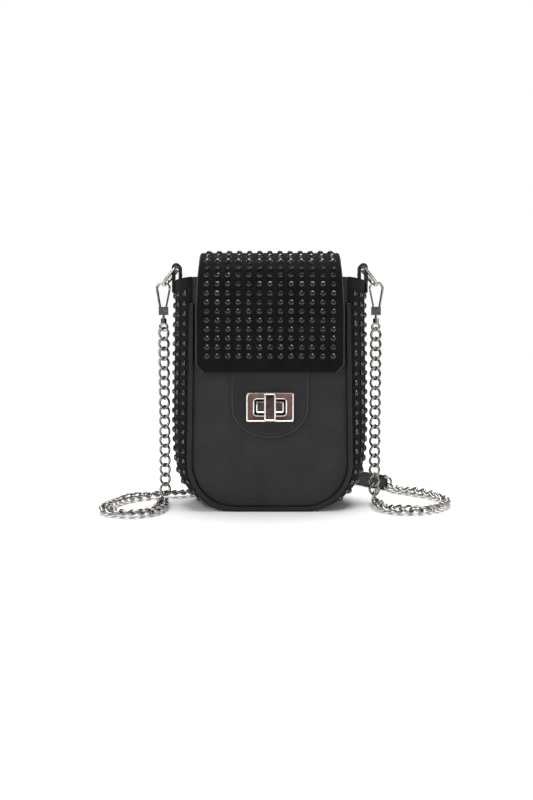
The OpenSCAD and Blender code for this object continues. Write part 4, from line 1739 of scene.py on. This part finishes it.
def box_ray(half_w: float, half_h: float, corner: float, degrees: float) -> Plan:
    """Finds where a ray from the middle leaves a rectangle with round corners.

    Args:
        half_w: Half its width.
        half_h: Half its height.
        corner: The corners' radius.
        degrees: The ray's direction.

    Returns:
        The point.
    """
    c, s = polar(degrees)
    t = min(half_w / max(abs(c), 1e-9), half_h / max(abs(s), 1e-9))
    x, z = abs(c) * t, abs(s) * t
    cx, cz = half_w - corner, half_h - corner
    if x > cx and z > cz:
        b = abs(c) * cx + abs(s) * cz
        t = b + math.sqrt(max(0.0, b * b - cx * cx - cz * cz + corner * corner))
    return c * t, s * t


class Plate:
    """A plate with a hole or a solid top, lofted through rings about the lock's middle."""

    ANGLES = [a + b for a in range(0, 360, 90) for b in
              (0, 6, 12, 18, 23, 26, 28, 30, 32, 34, 37, 41, 46, 52, 58, 65, 72, 81)]

    def __init__(self, name: str, middle_z: float, finish: Finish, second: Finish | None = None,
                 chosen: Sequence[int] = ()) -> None:
        """Sets the plate up.

        Args:
            name: Its name.
            middle_z: The height of its middle.
            finish: Its finish.
            second: The finish of the chosen bands.
            chosen: The bands between rings, by number, that have the second finish.
        """
        self.name = name
        self.middle_z = middle_z
        self.finishes = (finish,) if second is None else (finish, second)
        self.chosen = chosen

    def ring(self, outline: Callable[[float], Plan], y: float) -> list[Vector]:
        """Makes one ring at a depth y."""
        return [Vector((p[0], y, self.middle_z + p[1])) for p in map(outline, self.ANGLES)]

    def loft(self, steps: Sequence[tuple[Callable[[float], Plan], float]], hole: bool,
             angle: float = 30.0) -> bpy.types.Object:
        """Joins rings from the back of the rim over the front to the back of the hole.

        Args:
            steps: Each ring's outline and depth.
            hole: Whether the last ring joins the first, leaving a hole.
            angle: Edges sharper than this stay sharp.

        Returns:
            The object.
        """
        rows = [self.ring(outline, y) for outline, y in steps]
        return Shape(self.name, *self.finishes).rows(
            rows, ring=hole, caps=not hole,
            mark=lambda r, c: int(r in self.chosen)).build(angle)


@dataclass
class TurnLock:
    """The tongue with the framed slot, and the boss with the bar that turns in it."""

    middle: float = 73.5
    tongue_w: float = 53.0
    tongue_low: float = 52.0
    tongue_top: float = 122.0
    face: float = -29.6
    frame: Plan = (33.0, 20.5)
    slot: Plan = (21.5, 10.8)
    bar: Plan = (8.3, 19.3)

    def build(self) -> None:
        """Makes the tongue and the lock's pieces."""
        self.tongue()
        self.frame_ring()
        self.boss()
        self.knob()

    def rect(self, size: Plan, inset: float, corner: float) -> Callable[[float], Plan]:
        """Makes the outline of a rectangle with round corners, set in by a margin.

        Args:
            size: The rectangle's width and height.
            inset: The margin.
            corner: The radius of its corners before the margin.

        Returns:
            The outline, as a function of the direction in degrees.
        """
        def outline(degrees: float) -> Plan:
            """Finds where a ray from the middle crosses the rectangle."""
            return box_ray(size[0] / 2 - inset, size[1] / 2 - inset, max(0.05, corner - inset),
                           degrees)

        return outline

    def rects(self, size: Plan, corner: float, y: float,
              table: Sequence[Plan]) -> list[tuple[Callable[[float], Plan], float]]:
        """Makes a plate's rings from a table.

        Args:
            size: The rectangle's width and height.
            corner: The radius of its corners.
            y: The depth that the table starts from.
            table: Each ring's inset and how far it stands in front of y.

        Returns:
            Each ring's outline and depth.
        """
        return [(self.rect(size, inset, corner), y - rise) for inset, rise in table]

    def tongue_outline(self, inset: float) -> Callable[[float], Plan]:
        """Makes the outline of the tongue, round at its lower end, set in by a margin.

        Args:
            inset: The margin.

        Returns:
            The outline, as a function of the direction in degrees.
        """
        r = self.tongue_w / 2 - 1
        squash = 0.86
        foot = self.tongue_low + r * squash - self.middle
        half, top = self.tongue_w / 2, self.tongue_top - self.middle
        edge = [(half, top), (half, foot)]
        edge += [(half - r + r * polar(a)[0], foot - r * squash * polar(a)[1])
                 for a in range(6, 91, 6)]
        edge += [(-x, z) for x, z in reversed(edge)]

        def outline(degrees: float) -> Plan:
            """Finds where a ray from the lock's middle crosses the tongue's edge.

            Args:
                degrees: The ray's direction.

            Returns:
                The point.
            """
            c, s = polar(degrees)
            for (x0, z0), (x1, z1) in zip(edge, edge[1:] + edge[:1]):
                dx, dz = x1 - x0, z1 - z0
                cross = c * dz - s * dx
                if abs(cross) < 1e-9:
                    continue
                t = (x0 * dz - z0 * dx) / cross
                u = (x0 * s - z0 * c) / cross
                if t > 0 and -1e-6 <= u <= 1 + 1e-6:
                    t -= inset
                    return c * t, s * t
            return 0.0, 0.0

        return outline

    def tongue(self) -> None:
        """Makes the leather tongue with its rounded, faintly creased edge, whose rim bands are
        painted lighter as a painted highlight.
        """
        front, thick = self.face, 1.6
        steps = [(self.tongue_outline(inset), front - rise) for inset, rise in (
            (0.35, -thick), (0.0, 0.4 - thick), (0.0, -0.5), (0.2, -0.12), (0.6, 0.05),
            (1.3, 0.08), (1.75, -0.16), (2.2, 0.04), (4, 0.1))]
        inner = [(self.rect(self.slot, -0.9 - m, 0.6 + m), front) for m in (6, 3, 1, 0.2)]
        inner += [(self.rect(self.slot, -out, 0.8), front + back)
                  for out, back in ((0.5, 0.2), (0.4, thick))]
        # bands 0 to 3 round the rim take the lighter leather: a painted highlight along the
        # tongue's edge
        plate = Plate("tongue_leather_tab", self.middle, Finish.TONGUE, Finish.TONGUE_EDGE_HIGHLIGHT,
                      range(0, 4))
        made = plate.loft(steps + inner, True, 55)
        finished(made, "flap", "leather", "tongue")

    def frame_ring(self) -> None:
        """Makes the frame: a raised outer lip, a sloping face and a lip round the slot; the sunk
        face between the lips is painted pink-brown as a painted reflection.
        """
        y = self.face
        steps = self.rects(self.frame, 0.9, y, (
            (0.0, 0.0), (0.0, 1.75), (0.25, 2.15), (0.5, 2.2), (0.95, 2.2), (1.15, 2.05),
            (1.3, 1.7)))
        for out, rise in ((1.25, 1.45), (1.1, 1.95), (0.95, 2.15), (0.45, 2.2), (0.15, 2.1),
                          (0.0, 1.85), (0.0, 0.0)):
            steps.append((self.rect(self.slot, -out, 0.7 + out), y - rise))
        # bands 5 to 7, the sunk face between the lips, take the pink-brown painted reflection
        made = Plate("lock_frame_ring", self.middle, Finish.LOCK, Finish.LOCK_PAINTED_REFLECTION,
                     (5, 6, 7)).loft(steps, True)
        finished(made, "flap", "lock_metal", "lock_frame")

    def boss(self) -> None:
        """Makes the raised boss that fills the slot, with a sunk panel in its face painted dark as
        painted shade.
        """
        size = (self.slot[0] - 2.4, self.slot[1] - 2.6)
        y = self.face - 2.5
        steps = [(self.rect(size, 0.0, 0.7), -FORM.depth / 2)]
        steps += self.rects(size, 0.7, y, (
            (0.0, -0.4), (0.15, -0.1), (0.4, 0.0), (0.85, 0.0), (1.0, -0.15), (1.1, -0.6),
            (2.4, -0.62)))
        # bands 5 to 7 and the front cap, the sunk panel, take the dark painted shade
        made = Plate("lock_boss", self.middle, Finish.LOCK, Finish.LOCK_PAINTED_SHADE,
                     (5, 6, 7)).loft(steps, False)
        finished(made, "bag", "lock_metal", "lock_base")

    def knob(self) -> None:
        """Makes the turn bar with its bevelled rim and slightly crowned face, the face painted dark
        as painted shade.
        """
        y = self.face - 2.7
        steps = self.rects(self.bar, 0.8, y, (
            (2.6, -0.55), (2.4, 0.0), (0.2, 0.0), (0.0, 0.2), (0.0, 2.4), (0.2, 2.85),
            (0.55, 3.15), (0.95, 3.2), (1.15, 3.05), (1.3, 2.85), (2.0, 2.95), (3.2, 3.02)))
        # bands 9 to 11 and the front cap, the bar's face inside its rim, take the dark painted
        # shade
        made = Plate("lock_turn_bar", self.middle, Finish.LOCK, Finish.LOCK_PAINTED_SHADE,
                     (9, 10, 11)).loft(steps, False)
        finished(made, "knob", "lock_metal", "lock_knob")


# ---- Ring tabs and metal parts --------------------------------------------------------------


@dataclass
class RingTab:
    """The leather loop that straddles the gusset's top edge and holds a ring."""

    x: float = 67.45
    z: float = 172.5
    hole: float = 1.6
    leg: float = 17.5
    thick: float = 1.6
    width: float = 10.0

    def build(self) -> None:
        """Makes both tabs and their stitches."""
        radius = self.hole + self.thick / 2
        for side, k in (("left", -1), ("right", 1)):
            path = [(radius * k, -self.leg + i * (self.leg / 8)) for i in range(8)]
            path += [(radius * k * polar(a)[0], radius * polar(a)[1])
                     for a in span(0, 180, 16)]
            path += [(-radius * k, -i * self.leg / 8) for i in range(1, 9)]
            stations = []
            for i, (px, pz) in enumerate(path):
                here = Vector((self.x * k + px, 0, self.z + pz))
                if pz >= 0:
                    face = Vector((px, 0, pz)).normalized()
                else:
                    face = Vector((math.copysign(1, px), 0, 0))
                stations.append(Station(here, face, self.width / 2, Vector((0, 1, 0))))
            made = Strip(f"{side}_tab_leather", self.thick, 8, Finish.BINDING,
                         Finish.PAINTED_EDGE).build(stations)
            finished(made, "bag", "leather", f"{side}_ring_tab")
            spots = []
            out = radius + self.thick / 2
            seam_y, seam_low, seam_high = 3.6, 1.6 - self.leg, -4.5
            for z in span(seam_low, seam_high, 4):
                for y in (-seam_y, seam_y):
                    for j in (1, -1):
                        spots.append(Spot(Vector((self.x * k + out * j, y, self.z + z)), UP,
                                          RIGHT * j))
            row = StitchPattern(length=2.3, thread=0.5).tree().place(f"{side}_tab_stitches",
                                                                    spots, 4)
            finished(row, "bag", "leather")


@dataclass
class Hardware:
    """The metal pieces and boards whose shape is already right, with their finishes."""

    finishes: dict[str, Finish] = field(default_factory=lambda: {
        "lock_washer": Finish.LOCK, "lock_frame_plate": Finish.LOCK, "lock_clip": Finish.HARDWARE,
        "strap_rivets": Finish.HARDWARE, "left_strap_ring": Finish.HARDWARE,
        "right_strap_ring": Finish.HARDWARE, "front_board": Finish.BOARD,
        "back_board": Finish.BOARD, "base_board": Finish.BOARD,
        **{f"{side}_{part}": Finish.HARDWARE for side in ("left", "right")
           for part in ("ring", "hook", "hook_gate", "hook_pin", "hook_spring", "swivel")}})

    def build(self) -> None:
        """Dresses every node that stays."""
        for name, finish in self.finishes.items():
            node = frame["nodes"][name]
            node.data.materials.clear()
            node.data.materials.append(finish.material())
            LOG.info("%s keeps its shape in %s", name, finish.value.name)


# ---- Making ---------------------------------------------------------------------------------


def main() -> None:
    """Builds the stage and the bag in order."""
    logging.basicConfig(level=logging.INFO, format="%(name)s: %(message)s")
    Studio().build()
    Chain().build()
    Strap().build()
    Shell().build()
    Flap().build()
    TurnLock().build()
    RingTab().build()
    Hardware().build()
    for node in frame["nodes"].values():
        if not node.hide_render and node.name not in Hardware().finishes:
            LOG.warning("%s is still plain", node.name)
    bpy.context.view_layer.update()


if __name__ == "__main__":
    main()
